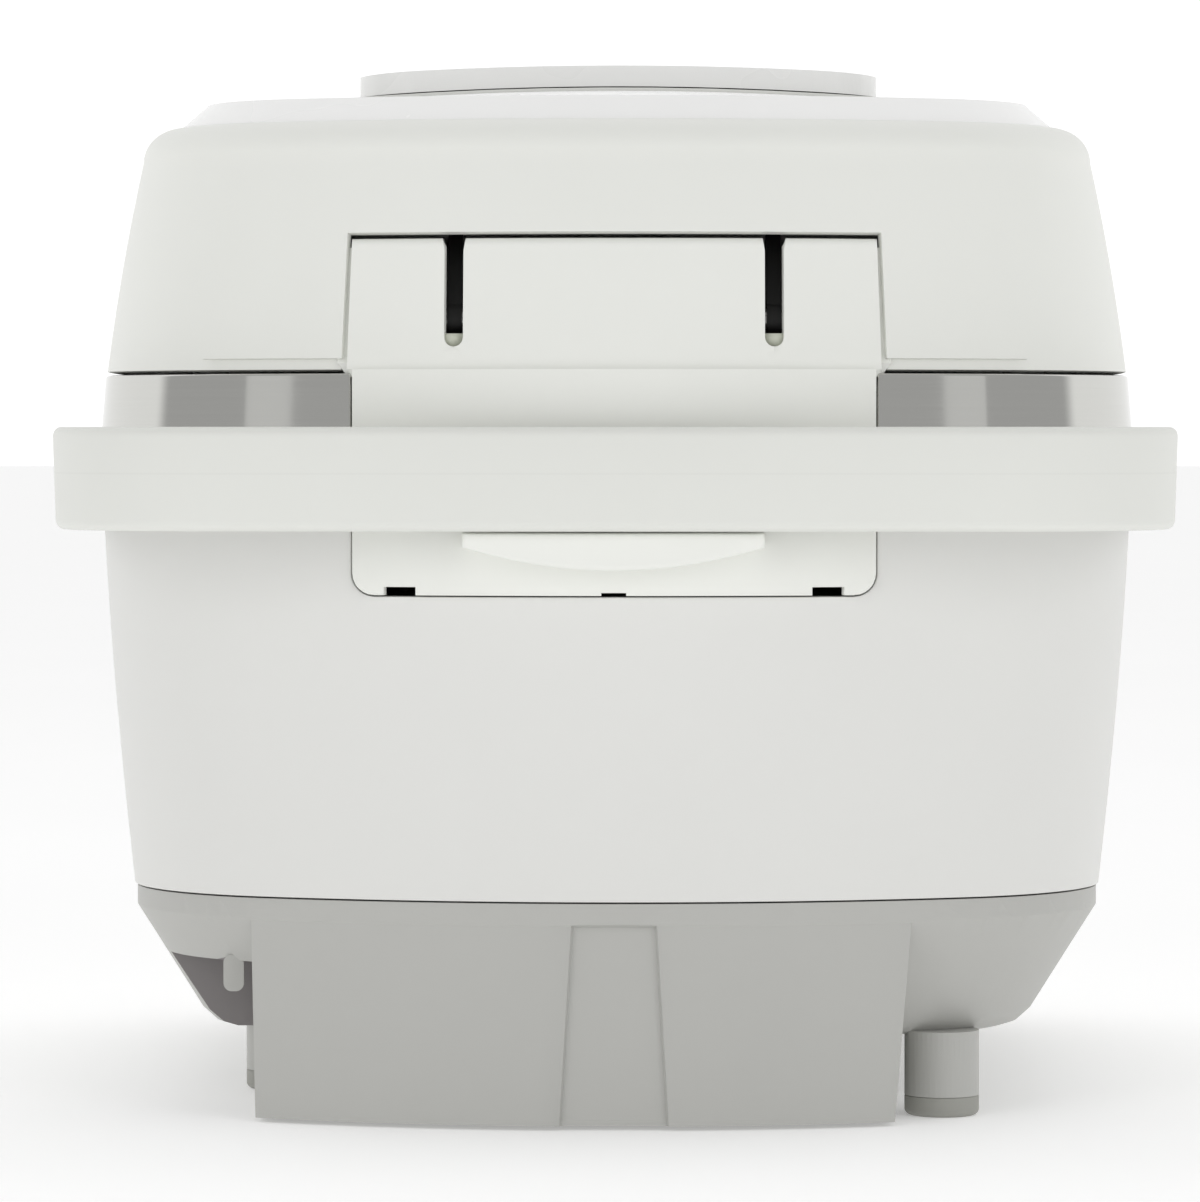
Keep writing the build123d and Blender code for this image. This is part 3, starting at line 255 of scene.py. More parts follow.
def new_material(name: str) -> tuple[bpy.types.Material, bpy.types.NodeTree, bpy.types.NodeSocket]:
    """Make an empty material.

    Args:
        name: name of the finish.

    Returns:
        The material, its node tree and the object coordinates.
    """
    material = bpy.data.materials.new(name)
    material.use_nodes = True
    material.node_tree.nodes.clear()
    place = add_node(material.node_tree, "ShaderNodeTexCoord").outputs["Object"]
    return material, material.node_tree, place


@dataclass(frozen=True)
class MouldedPlastic:
    """Injection-moulded ABS or polypropylene, its skin taken from the mould.

    The eye sees a fine even tooth in the highlight, a very slight cloudiness in the colour where
    the melt flowed, and gloss that drifts a little from place to place.
    """

    name: str
    colour: str
    roughness: float
    grain: Grain
    cloud: float = 0.025
    cloud_size: float = 70.0
    coat: float = 0.0
    crease_shade_z: float | None = None

    def build(self) -> bpy.types.Material:
        """Build the node material.

        Returns:
            The finished material.
        """
        material, tree, place = new_material(self.name)
        pitch, height = self.grain.value
        base = np.array(linear(self.colour)[:3])
        cloud = add_node(tree, "ShaderNodeTexNoise", {"Scale": 1 / (self.cloud_size * MM), "Detail": 3.0},
                         {"Vector": place})
        tint = add_node(tree, "ShaderNodeMix", {
            "data_type": "RGBA", 6: (*(base * (1 - self.cloud)), 1),
            7: (*np.minimum(base * (1 + self.cloud), 1), 1)}, {0: cloud.outputs["Fac"]})
        colour = tint.outputs[2]
        tooth = add_node(tree, "ShaderNodeTexNoise", {
            "Scale": 1 / (pitch * MM), "Detail": 2.0, "Roughness": 0.6}, {"Vector": place})
        gloss = add_node(tree, "ShaderNodeMapRange", {
            "From Min": 0.3, "From Max": 0.7, "To Min": self.roughness - 0.04,
            "To Max": self.roughness + 0.05}, {"Value": cloud.outputs["Fac"]})
        bump = add_node(tree, "ShaderNodeBump", {"Strength": 0.35, "Distance": height * MM},
                        {"Height": tooth.outputs["Fac"]})
        if self.crease_shade_z is not None:
            # painted shade: a fine darker line where the two halves of the mould met, standing for the shade
            # in the crease there
            split = add_node(tree, "ShaderNodeSeparateXYZ", links={0: place})
            away = add_node(tree, "ShaderNodeMath", {"operation": "SUBTRACT", 1: self.crease_shade_z * MM},
                            {0: split.outputs["Z"]})
            near = add_node(tree, "ShaderNodeMath", {"operation": "ABSOLUTE"}, {0: away.outputs[0]})
            mark = add_node(tree, "ShaderNodeMapRange", {
                "From Min": 0.0, "From Max": 0.35 * MM, "To Min": 0.965, "To Max": 1.0},
                {"Value": near.outputs[0]})
            colour = add_node(tree, "ShaderNodeVectorMath", {"operation": "SCALE"},
                              {0: colour, "Scale": mark.outputs[0]}).outputs[0]
        shader = add_node(tree, "ShaderNodeBsdfPrincipled", {
            "IOR": 1.53, "Coat Weight": self.coat, "Coat Roughness": 0.12},
            {"Base Color": colour, "Roughness": gloss.outputs[0], "Normal": bump.outputs[0]})
        add_node(tree, "ShaderNodeOutputMaterial", links={"Surface": shader.outputs[0]})
        return material


@dataclass(frozen=True)
class SatinMetal:
    """Rolled or drawn metal with a satin skin.

    The eye sees a soft, slightly streaked reflection that runs with the rolling direction.
    """

    name: str
    colour: str
    roughness: float
    streak: tuple[float, float, float] = (60.0, 60.0, 0.5)
    depth: float = 0.004

    def build(self) -> bpy.types.Material:
        """Build the node material.

        Returns:
            The finished material.
        """
        material, tree, place = new_material(self.name)
        base = np.array(linear(self.colour)[:3])
        stretch = add_node(tree, "ShaderNodeMapping", {
            "Scale": tuple(1 / (size * MM) for size in self.streak)}, {"Vector": place})
        lines = add_node(tree, "ShaderNodeTexNoise", {"Scale": 1.0, "Detail": 4.0, "Roughness": 0.65},
                         {"Vector": stretch.outputs[0]})
        tint = add_node(tree, "ShaderNodeMix", {
            "data_type": "RGBA", 6: (*(base * 0.97), 1), 7: (*np.minimum(base * 1.03, 1), 1)},
            {0: lines.outputs["Fac"]})
        gloss = add_node(tree, "ShaderNodeMapRange", {
            "From Min": 0.3, "From Max": 0.7, "To Min": self.roughness * 0.85,
            "To Max": self.roughness * 1.2}, {"Value": lines.outputs["Fac"]})
        bump = add_node(tree, "ShaderNodeBump", {"Strength": 0.3, "Distance": self.depth * MM},
                        {"Height": lines.outputs["Fac"]})
        shader = add_node(tree, "ShaderNodeBsdfPrincipled", {"Metallic": 1.0},
                          {"Base Color": tint.outputs[2], "Roughness": gloss.outputs[0],
                           "Normal": bump.outputs[0]})
        add_node(tree, "ShaderNodeOutputMaterial", links={"Surface": shader.outputs[0]})
        return material


@dataclass(frozen=True)
class SpeckledCoat:
    """Sprayed non-stick coating or sintered ferrite.

    The eye sees a dark even skin broken by fine lighter flecks, drawn a little coarse so they show.
    """

    name: str
    colour: str
    fleck: str
    fleck_size: float
    roughness: float
    fleck_share: float = 0.62

    def build(self) -> bpy.types.Material:
        """Build the node material.

        Returns:
            The finished material.
        """
        material, tree, place = new_material(self.name)
        cells = add_node(tree, "ShaderNodeTexNoise", {"Scale": 1 / (self.fleck_size * MM), "Detail": 1.0},
                         {"Vector": place})
        fleck = add_node(tree, "ShaderNodeMapRange", {
            "From Min": self.fleck_share, "From Max": self.fleck_share + 0.06},
            {"Value": cells.outputs["Fac"]})
        tint = add_node(tree, "ShaderNodeMix", {
            "data_type": "RGBA", 6: linear(self.colour), 7: linear(self.fleck)}, {0: fleck.outputs[0]})
        gloss = add_node(tree, "ShaderNodeMapRange", {
            "To Min": self.roughness - 0.06, "To Max": self.roughness + 0.08},
            {"Value": cells.outputs["Fac"]})
        bump = add_node(tree, "ShaderNodeBump", {"Strength": 0.3, "Distance": 0.02 * MM},
                        {"Height": cells.outputs["Fac"]})
        shader = add_node(tree, "ShaderNodeBsdfPrincipled", {"IOR": 1.45},
                          {"Base Color": tint.outputs[2], "Roughness": gloss.outputs[0],
                           "Normal": bump.outputs[0]})
        add_node(tree, "ShaderNodeOutputMaterial", links={"Surface": shader.outputs[0]})
        return material


@dataclass(frozen=True)
class WoundCopper:
    """Enamelled litz wire wound flat in rings round the pot's axis.

    The eye sees close concentric turns with dark gaps and a warm lacquered gloss.
    """

    name: str
    colour: str
    gap_colour: str
    wire: float
    centre_y: float

    def build(self) -> bpy.types.Material:
        """Build the node material.

        Returns:
            The finished material.
        """
        material, tree, place = new_material(self.name)
        centred = add_node(tree, "ShaderNodeMapping", {"Location": (0, -self.centre_y * MM, 0)},
                           {"Vector": place})
        split = add_node(tree, "ShaderNodeSeparateXYZ", links={0: centred.outputs[0]})
        flat = add_node(tree, "ShaderNodeCombineXYZ", links={0: split.outputs["X"], 1: split.outputs["Y"]})
        reach = add_node(tree, "ShaderNodeVectorMath", {"operation": "LENGTH"}, {0: flat.outputs[0]})
        turns = add_node(tree, "ShaderNodeMath", {"operation": "MULTIPLY", 1: 2 * np.pi / (self.wire * MM)},
                         {0: reach.outputs["Value"]})
        wave = add_node(tree, "ShaderNodeMath", {"operation": "SINE"}, {0: turns.outputs[0]})
        height = add_node(tree, "ShaderNodeMapRange", {"From Min": -1.0, "From Max": 0.2},
                          {"Value": wave.outputs[0]})
        tint = add_node(tree, "ShaderNodeMix", {
            "data_type": "RGBA", 6: linear(self.gap_colour), 7: linear(self.colour)}, {0: height.outputs[0]})
        bump = add_node(tree, "ShaderNodeBump", {"Strength": 0.8, "Distance": 0.3 * MM},
                        {"Height": wave.outputs[0]})
        shader = add_node(tree, "ShaderNodeBsdfPrincipled", {"Metallic": 0.6, "Roughness": 0.32},
                          {"Base Color": tint.outputs[2], "Normal": bump.outputs[0]})
        add_node(tree, "ShaderNodeOutputMaterial", links={"Surface": shader.outputs[0]})
        return material


@dataclass(frozen=True)
class CircuitLaminate:
    """Glass-fibre circuit board under green solder mask, with the copper tracks just showing."""

    name: str
    colour: str
    track: str
    pitch: float

    def build(self) -> bpy.types.Material:
        """Build the node material.

        Returns:
            The finished material.
        """
        material, tree, place = new_material(self.name)
        bricks = add_node(tree, "ShaderNodeTexBrick", {
            "Color1": linear(self.colour), "Color2": linear(self.colour), "Mortar": linear(self.track),
            "Scale": 1 / (self.pitch * MM), "Mortar Size": 0.06, "Bias": 0.0}, {"Vector": place})
        bump = add_node(tree, "ShaderNodeBump", {"Strength": 0.3, "Distance": 0.05 * MM},
                        {"Height": bricks.outputs["Fac"]})
        shader = add_node(tree, "ShaderNodeBsdfPrincipled", {"IOR": 1.5, "Roughness": 0.3},
                          {"Base Color": bricks.outputs["Color"], "Normal": bump.outputs[0]})
        add_node(tree, "ShaderNodeOutputMaterial", links={"Surface": shader.outputs[0]})
        return material


@dataclass(frozen=True)
class DisplayFace:
    """Liquid-crystal display under a clear acrylic window, with its unlit cells faintly showing.

    The eye sees a grey-green field, a darker printed border and the ghost of a plain grid of cells.
    """

    name: str
    field: str
    ghost: str
    border: str
    centre_y: float
    half_length: float
    half_width: float
    side_border: float = 6.0
    end_border: float = 5.0
    cell: float = 14.0

    def build(self) -> bpy.types.Material:
        """Build the node material.

        Returns:
            The finished material.
        """
        material, tree, place = new_material(self.name)
        split = add_node(tree, "ShaderNodeSeparateXYZ", links={0: place})
        across = add_node(tree, "ShaderNodeMath", {"operation": "ABSOLUTE"}, {0: split.outputs["X"]})
        along = add_node(tree, "ShaderNodeMath", {"operation": "SUBTRACT", 1: self.centre_y * MM},
                         {0: split.outputs["Y"]})
        along_size = add_node(tree, "ShaderNodeMath", {"operation": "ABSOLUTE"}, {0: along.outputs[0]})
        edge_x = add_node(tree, "ShaderNodeMath", {
            "operation": "GREATER_THAN", 1: (self.half_length - self.side_border) * MM},
            {0: across.outputs[0]})
        edge_y = add_node(tree, "ShaderNodeMath", {
            "operation": "GREATER_THAN", 1: (self.half_width - self.end_border) * MM},
            {0: along_size.outputs[0]})
        edge = add_node(tree, "ShaderNodeMath", {"operation": "MAXIMUM"},
                        {0: edge_x.outputs[0], 1: edge_y.outputs[0]})
        segments = add_node(tree, "ShaderNodeTexBrick", {
            "Color1": linear(self.field), "Color2": linear(self.field), "Mortar": linear(self.ghost),
            "Scale": 1 / (self.cell * MM), "Mortar Size": 0.07, "offset": 0.0, "Brick Width": 1.0,
            "Row Height": 0.8}, {"Vector": place})
        tint = add_node(tree, "ShaderNodeMix", {"data_type": "RGBA", 7: linear(self.border)},
                        {0: edge.outputs[0], 6: segments.outputs["Color"]})
        shader = add_node(tree, "ShaderNodeBsdfPrincipled", {
            "IOR": 1.49, "Roughness": 0.22, "Coat Weight": 1.0, "Coat Roughness": 0.03},
            {"Base Color": tint.outputs[2]})
        add_node(tree, "ShaderNodeOutputMaterial", links={"Surface": shader.outputs[0]})
        return material


@dataclass
class Finishes:
    """Every finish of the cooker, built once and looked up by the record's slot name."""

    made: dict[str, bpy.types.Material] = field(default_factory=dict)

    def build(self) -> None:
        """Build one material for each slot, and the few that differ from their slot."""
        looks = [
            # moulded ABS, fine spark-eroded skin: warm white, dull highlight
            ("white_shell", MouldedPlastic("moulded_abs_white", "E6E6E3", 0.48, Grain.SPARK_ERODED)),
            ("lid_white", MouldedPlastic("moulded_abs_lid", "EFF0EB", 0.42, Grain.SATIN)),
            # glossier moulded ABS: cleaner white with a soft shine
            ("bezel_white", MouldedPlastic("moulded_abs_gloss", "FBFBFA", 0.26, Grain.POLISHED, coat=0.3)),
            ("panel", MouldedPlastic("moulded_abs_panel", "E7E8E3", 0.36, Grain.SATIN)),
            # the handle's parting line is painted shade, darkened in colour along one height
            ("handle_white", MouldedPlastic("moulded_abs_handle", "E6E7E2", 0.46, Grain.SPARK_ERODED,
                                            crease_shade_z=158.3)),
            ("cover_white", MouldedPlastic("moulded_abs_cover", "F1F2ED", 0.46, Grain.SPARK_ERODED)),
            # moulded polypropylene, grey: the base that hides the electronics
            ("grey_base", MouldedPlastic("moulded_pp_grey", "BCBCB8", 0.5, Grain.SPARK_ERODED)),
            ("frame_plastic", MouldedPlastic("moulded_pp_frame", "C4C4C1", 0.5, Grain.SATIN)),
            ("well_plastic", MouldedPlastic("moulded_pbt_well", "8C8C8A", 0.5, Grain.COARSE)),
            ("dark_plastic", MouldedPlastic("moulded_pbt_dark", "3A3A3A", 0.5, Grain.COARSE)),
            # moulded nylon, dark in itself and taken near black as painted shade, so that the arms read as
            # dark slots in the white cover
            ("hinge_black_slot_shade", MouldedPlastic("moulded_pa_black_slot_shade", "0B0A09", 0.6, Grain.COARSE)),
            # same grey base plastic in the plug pocket, darkened as painted shade for the deep recess, with a
            # rougher and duller skin
            ("pocket_painted_shade", MouldedPlastic("moulded_pp_pocket_painted_shade", "878383", 0.62, Grain.COARSE)),
            # the cover's ABS seen in shade at the foot of its slots
            ("sill_grey", MouldedPlastic("moulded_abs_sill", "C9CCBE", 0.5, Grain.SATIN)),
            # moulded ABS keys: plain grey, one orange so that it is found first
            ("key_plastic", MouldedPlastic("moulded_abs_key", "BDBEBB", 0.4, Grain.SATIN)),
            ("accent_key", MouldedPlastic("moulded_abs_accent", "DB7A3E", 0.4, Grain.SATIN)),
            # moulded elastomers: no shine, a rougher tooth on the feet
            ("rubber", MouldedPlastic("moulded_tpe_rubber", "A3A39D", 0.68, Grain.COARSE)),
            ("silicone", MouldedPlastic("moulded_silicone", "D8D8D4", 0.55, Grain.SATIN)),
            # satin metallised trim: soft reflection of the room, streaks run round the case
            ("ring_metal", SatinMetal("satin_trim_metal", "CDCDC9", 0.075, (60.0, 60.0, 0.8), 0.0006)),
            # brushed, drawn and extruded metals: streaks follow the way each was worked
            ("steel", SatinMetal("brushed_stainless", "C6C6C4", 0.28, (40.0, 0.6, 40.0))),
            ("spring_steel", SatinMetal("drawn_spring_wire", "9A9A98", 0.3, (0.6, 12.0, 12.0))),
            ("aluminium", SatinMetal("extruded_aluminium", "D2D3D4", 0.36, (40.0, 0.5, 40.0))),
            # sprayed coating and sintered powder: dark, finely flecked
            ("pot_coat", SpeckledCoat("sprayed_nonstick", "2C2B2A", "6C6964", 0.5, 0.34)),
            ("ferrite", SpeckledCoat("sintered_ferrite", "2A2A2C", "4A4A4C", 0.4, 0.7)),
            # wound lacquered wire; etched laminate; clear window over the display
            ("copper", WoundCopper("enamelled_litz", "C0703A", "4A2412", 1.5, 6.0)),
            ("board", CircuitLaminate("solder_mask_laminate", "1E5B38", "3A7F55", 3.0)),
            ("lcd", DisplayFace("display_window", "9CA79A", "8E998C", "70736F", -78.0, 44.0, 21.0)),
            ("lcd_grey", MouldedPlastic("display_frame", "A0A8A0", 0.4, Grain.SATIN)),
        ]
        for slot, look in looks:
            self.made[slot] = look.build()

    def put(self, piece: bpy.types.Object, slot: str, slot_name: str | None = None) -> None:
        """Dress a piece.

        Args:
            piece: the object.
            slot: the finish that it gets.
            slot_name: the record's slot, where the finish is a variety of it; not used.
        """
        piece.data.materials.clear()
        piece.data.materials.append(self.made[slot])


# ------------------------------------------------------------------ the case's plan
@dataclass
class CasePlan:
    """Plan of the case: two shallow side arcs and two end arcs with rounded corners.

    Every level of the case is this outline moved inwards along its normals by an inset, with its
    rear arc moved forward by a trim. All radii shrink by the inset, so the centres stay put.
    """

    half_width: float = 132.4
    rear: float = 162.0
    front: float = -175.0
    middle: float = -6.5
    side_radius: float = 1600.0
    end_radius: float = 230.0
    corner_radius: float = 66.0
    side_steps: int = 14
    corner_steps: int = 22
    outer_steps: int = 10
    inner_steps: int = 12

    def rear_y(self, x: np.ndarray, inset: np.ndarray, trim: np.ndarray) -> np.ndarray:
        """Rear arc: y = centre + the square root of radius squared less x squared."""
        return self.rear - self.end_radius - trim + np.sqrt((self.end_radius - inset) ** 2 - x ** 2)

    def quarter(self, inset: np.ndarray, trim: np.ndarray, half: np.ndarray, ahead: int,
                corner: float | None = None) -> np.ndarray:
        """Work out a quarter of the outline, from the middle of the right side to an end's middle.

        The corner's centre is where two circles meet: one about the end arc's centre and one about
        the side arc's, each as large as its arc less the corner radius.

        Args:
            inset: one inset for each level.
            trim: how far the end arc has moved towards the middle, for each level.
            half: half-width of the run of evenly spaced columns about the end's middle.
            ahead: 1 for the rear end, -1 for the front end.
            corner: corner radius at no inset, or None for the case's own.

        Returns:
            Array of levels x columns x 2.
        """
        inset, trim, half = (np.asarray(value, float)[:, None] for value in (inset, trim, half))
        corner = self.corner_radius if corner is None else corner
        end_y = (self.rear if ahead > 0 else -self.front) - self.end_radius - trim
        side_x = self.half_width - self.side_radius
        side_y = ahead * self.middle
        near, far = self.end_radius - corner, self.side_radius - corner
        run_x, run_y = 0.0 - side_x, end_y - side_y
        span = np.hypot(run_x, run_y)
        along = (far ** 2 - near ** 2 + span ** 2) / (2 * span)
        off = np.sqrt(far ** 2 - along ** 2)
        unit_x, unit_y = run_x / span, run_y / span
        corner_x = side_x + along * unit_x - off * unit_y
        corner_y = side_y + along * unit_y + off * unit_x
        turn_side = np.arctan2(corner_y - side_y, corner_x - side_x)
        turn_end = np.arctan2(corner_y - end_y, corner_x)
        step = [np.linspace(0, 1, count, endpoint=False)[None]
                for count in (self.side_steps, self.corner_steps, self.outer_steps)]
        inner = np.linspace(0, 1, self.inner_steps + 1)[None]
        angle = turn_side * step[0]
        reach = self.side_radius - inset
        parts = [(side_x + reach * np.cos(angle), side_y + reach * np.sin(angle))]
        angle = turn_side + (turn_end - turn_side) * step[1]
        reach = corner - inset
        parts.append((corner_x + reach * np.cos(angle), corner_y + reach * np.sin(angle)))
        reach = self.end_radius - inset
        stop = np.arccos(half / reach)
        angle = turn_end + (stop - turn_end) * step[2]
        parts.append((reach * np.cos(angle), end_y + reach * np.sin(angle)))
        across = half * (1 - inner)
        parts.append((across, end_y + np.sqrt(reach ** 2 - across ** 2)))
        x = np.concatenate([part[0] for part in parts], axis=1)
        y = np.concatenate([part[1] for part in parts], axis=1)
        return np.stack([x, ahead * y], axis=-1)

    @staticmethod
    def around(rear: np.ndarray, front: np.ndarray) -> np.ndarray:
        """Join a rear and a front quarter and their mirror images into one anticlockwise loop."""
        flip = np.array([-1.0, 1.0])
        return np.concatenate([rear, (rear * flip)[:, -2:0:-1], front * flip, front[:, -2:0:-1]], axis=1)

    def loop(self, inset: np.ndarray, trim: np.ndarray | float = 0.0, rear_half: np.ndarray | float = 40.0,
             front_half: np.ndarray | float = 40.0) -> np.ndarray:
        """Work out the whole outline for every level at once.

        Args:
            inset: one inset for each level.
            trim: forward shift of the rear arc.
            rear_half: half-width of the evenly spaced columns at the rear.
            front_half: half-width of the evenly spaced columns at the front.

        Returns:
            Array of levels x columns x 2.
        """
        inset = np.asarray(inset, float)
        full = np.ones_like(inset)
        rear = self.quarter(inset, trim * full, rear_half * full, 1)
        front = self.quarter(inset, 0 * full, front_half * full, -1)
        return self.around(rear, front)

    def levels(self, z: np.ndarray, inset: np.ndarray, **how: np.ndarray | float) -> np.ndarray:
        """Outline at every level with its height, as levels x columns x 3."""
        plan = self.loop(inset, **how)
        height = np.broadcast_to(np.asarray(z, float)[:, None, None], (*plan.shape[:2], 1))
        return np.concatenate([plan, height], axis=-1)


@dataclass
class Crown:
    """Doubly curved top of the lid: an arc across the width swung about a far axis below."""

    crest: float = 256.5
    width_radius: float = 890.4
    length_radius: float = 1518.0
    middle: float = -6.5

    def height(self, x: np.ndarray, y: np.ndarray) -> np.ndarray:
        """Height over the plan: swing radius less the arc's sag at x, its circle taken at y."""
        swing = self.length_radius - self.width_radius + np.sqrt(self.width_radius ** 2 - x ** 2)
        return self.crest - self.length_radius + np.sqrt(swing ** 2 - (y - self.middle) ** 2)


def lid_side(height: np.ndarray) -> np.ndarray:
    """Inset of the lid's side: a start, an eighth of the height and a small share of its square."""
    return LID_BASE_INSET + LID_LEAN * height + LID_CURVE * height ** 2


def set_depth(plan: np.ndarray, depth: np.ndarray) -> np.ndarray:
    """Stand outlines in x and z at one depth y each, as rows x columns x 3."""
    y = np.broadcast_to(depth[:, None], plan.shape[:2])
    return np.stack([plan[..., 0], y, plan[..., 1]], axis=-1)


def inside(low: float, value: np.ndarray, high: float) -> np.ndarray:
    """Tell which values lie between two limits."""
    return (value > low) & (value < high)


def cell_middles(points: np.ndarray) -> np.ndarray:
    """Middle of every cell of a closed grid."""
    along = (points + np.roll(points, -1, axis=1)) / 2
    return (along[:-1] + along[1:]) / 2


# ------------------------------------------------------------------ case
@dataclass
class Case:
    """White body, grey trim ring and the lid's outer shell, all on one plan."""

    finishes: Finishes
    plan: CasePlan = field(default_factory=CasePlan)
    seam_z: float = 55.0
    body_top_z: float = 162.8
    body_top_inset: float = 0.6
    body_bottom_inset: float = 8.6
    taper_power: float = 1.5
    ring_bottom_z: float = 163.0
    ring_top_z: float = 182.3
    ring_lean: float = 1.6
    wall: float = 2.6
    cover_opening_half: float = 63.2
    cover_bottom_z: float = 128.7
    opening_corner: float = 5.7
    lid_bottom_z: float = 183.2
    edge_start_z: float = 235.5
    rim_z: float = 244.0
    edge_width: float = 9.0
    notch_top_z: float = 216.2
    notch_half_top: float = 64.3
    notch_half_bottom: float = 65.6
    relief_height: float = 2.6
    relief_depth: float = 1.3
    relief_half: float = 100.0
    button_half: float = 24.4
    button_bottom_z: float = 213.6
    button_top_z: float = 230.4

    def body(self) -> None:
        """Build the body: inset = top + (bottom - top) times depth to the power 1.5, depth 0 to 1."""
        low = self.seam_z + 0.2
        corner = self.opening_corner * (1 - np.cos(np.linspace(0, np.pi / 2, 8)))
        z = np.unique(np.round(np.concatenate([np.linspace(low, self.body_top_z, 26),
                                               self.cover_bottom_z + corner]), 3))
        # the opening's lower corners are quarter circles, so its half-width grows with height there
        drop = np.clip((self.cover_bottom_z + self.opening_corner - z) / self.opening_corner, 0, 1)
        half = self.cover_opening_half - self.opening_corner * (1 - np.sqrt(1 - drop ** 2))
        depth = (self.body_top_z - z) / (self.body_top_z - low)
        growth = self.body_bottom_inset - self.body_top_inset
        inset = self.body_top_inset + growth * depth ** self.taper_power
        points = self.plan.levels(z, inset, rear_half=half)
        middle = cell_middles(points)
        level_half = (half[1:] + half[:-1])[:, None] / 2
        open_cell = ((np.abs(middle[..., 0]) < level_half) & (middle[..., 1] > REAR_END)
                     & (middle[..., 2] > self.cover_bottom_z))
        piece = mesh_object("body_shell", [Grid(points, keep=~open_cell)])
        thicken(piece, self.wall)
        round_edges(piece, 0.5)
        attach(piece, "root")
        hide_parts("outer_body_shell")
        self.finishes.put(piece, "white_shell")

    def ring(self) -> None:
        """Build the trim ring: its inset grows evenly with height."""
        z = np.linspace(self.ring_bottom_z, self.ring_top_z, 8)
        inset = self.ring_lean * (z - self.ring_bottom_z) / (self.ring_top_z - self.ring_bottom_z)
        points = self.plan.levels(z, inset, rear_half=self.cover_opening_half)
        middle = cell_middles(points)
        open_cell = (inside(-self.cover_opening_half, middle[..., 0], self.cover_opening_half)
                     & (middle[..., 1] > REAR_END))
        piece = mesh_object("trim_ring", [Grid(points, keep=~open_cell)])
        thicken(piece, self.wall)
        round_edges(piece, 0.6)
        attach(piece, "root")
        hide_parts("ring_trim")
        self.finishes.put(piece, "ring_metal")

    def lid(self) -> None:
        """Build the lid's side and rounded shoulder, open at the hinge cover and the latch button.

        The side follows lid_side. The shoulder rises by the sine and runs in by one less the
        cosine of an angle from 0 to 90 degrees.
        """
        side = np.unique(np.concatenate([
            np.linspace(self.lid_bottom_z, self.edge_start_z, 20),
            self.lid_bottom_z + self.relief_height * np.array([0.5, 0.96, 1.04]),
            [self.button_bottom_z, self.button_bottom_z + 1.5, self.button_bottom_z + 3.0, self.notch_top_z,
             self.button_top_z - 3.0, self.button_top_z - 1.5, self.button_top_z]]))
        side_inset = lid_side(side - self.lid_bottom_z)
        angle = np.linspace(0, np.pi / 2, 13)[1:]
        z = np.concatenate([side, self.edge_start_z + (self.rim_z - self.edge_start_z) * np.sin(angle)])
        inset = np.concatenate([side_inset, side_inset[-1] + self.edge_width * (1 - np.cos(angle))])
        trim = REAR_LEAN * (np.minimum(z, self.edge_start_z) - self.lid_bottom_z)
        share = np.clip((z - self.lid_bottom_z) / (self.notch_top_z - self.lid_bottom_z), 0, 1)
        half = self.notch_half_bottom + (self.notch_half_top - self.notch_half_bottom) * share
        points = self.plan.levels(z, inset, trim=trim, rear_half=half, front_half=self.button_half)
        # a small relief runs along the lower rear edge, as far as the corners
        low = np.clip((self.lid_bottom_z + self.relief_height * 1.04 - z) / (self.relief_height * 0.08), 0, 1)
        reach = np.clip((self.relief_half - np.abs(points[..., 0])) / 2.0, 0, 1) * (points[..., 1] > REAR_END)
        points[..., 1] -= self.relief_depth * low[:, None] * reach
        middle = cell_middles(points)
        level_half = (half[1:] + half[:-1])[:, None] / 2
        notch = ((np.abs(middle[..., 0]) < level_half) & (middle[..., 1] > REAR_END)
                 & (middle[..., 2] < self.notch_top_z))
        button = ((np.abs(middle[..., 0]) < self.button_half) & (middle[..., 1] < -REAR_END)
                  & inside(self.button_bottom_z, middle[..., 2], self.button_top_z))
        piece = mesh_object("lid_shell", [Grid(points, keep=~(notch | button))])
        thicken(piece, self.wall)
        round_edges(piece, 0.6)
        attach(piece, "lid")
        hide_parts("lid_outer_shell")
        self.finishes.put(piece, "lid_white")

    def build(self) -> None:
        """Build and dress the three shells."""
        self.body()
        self.ring()
        self.lid()


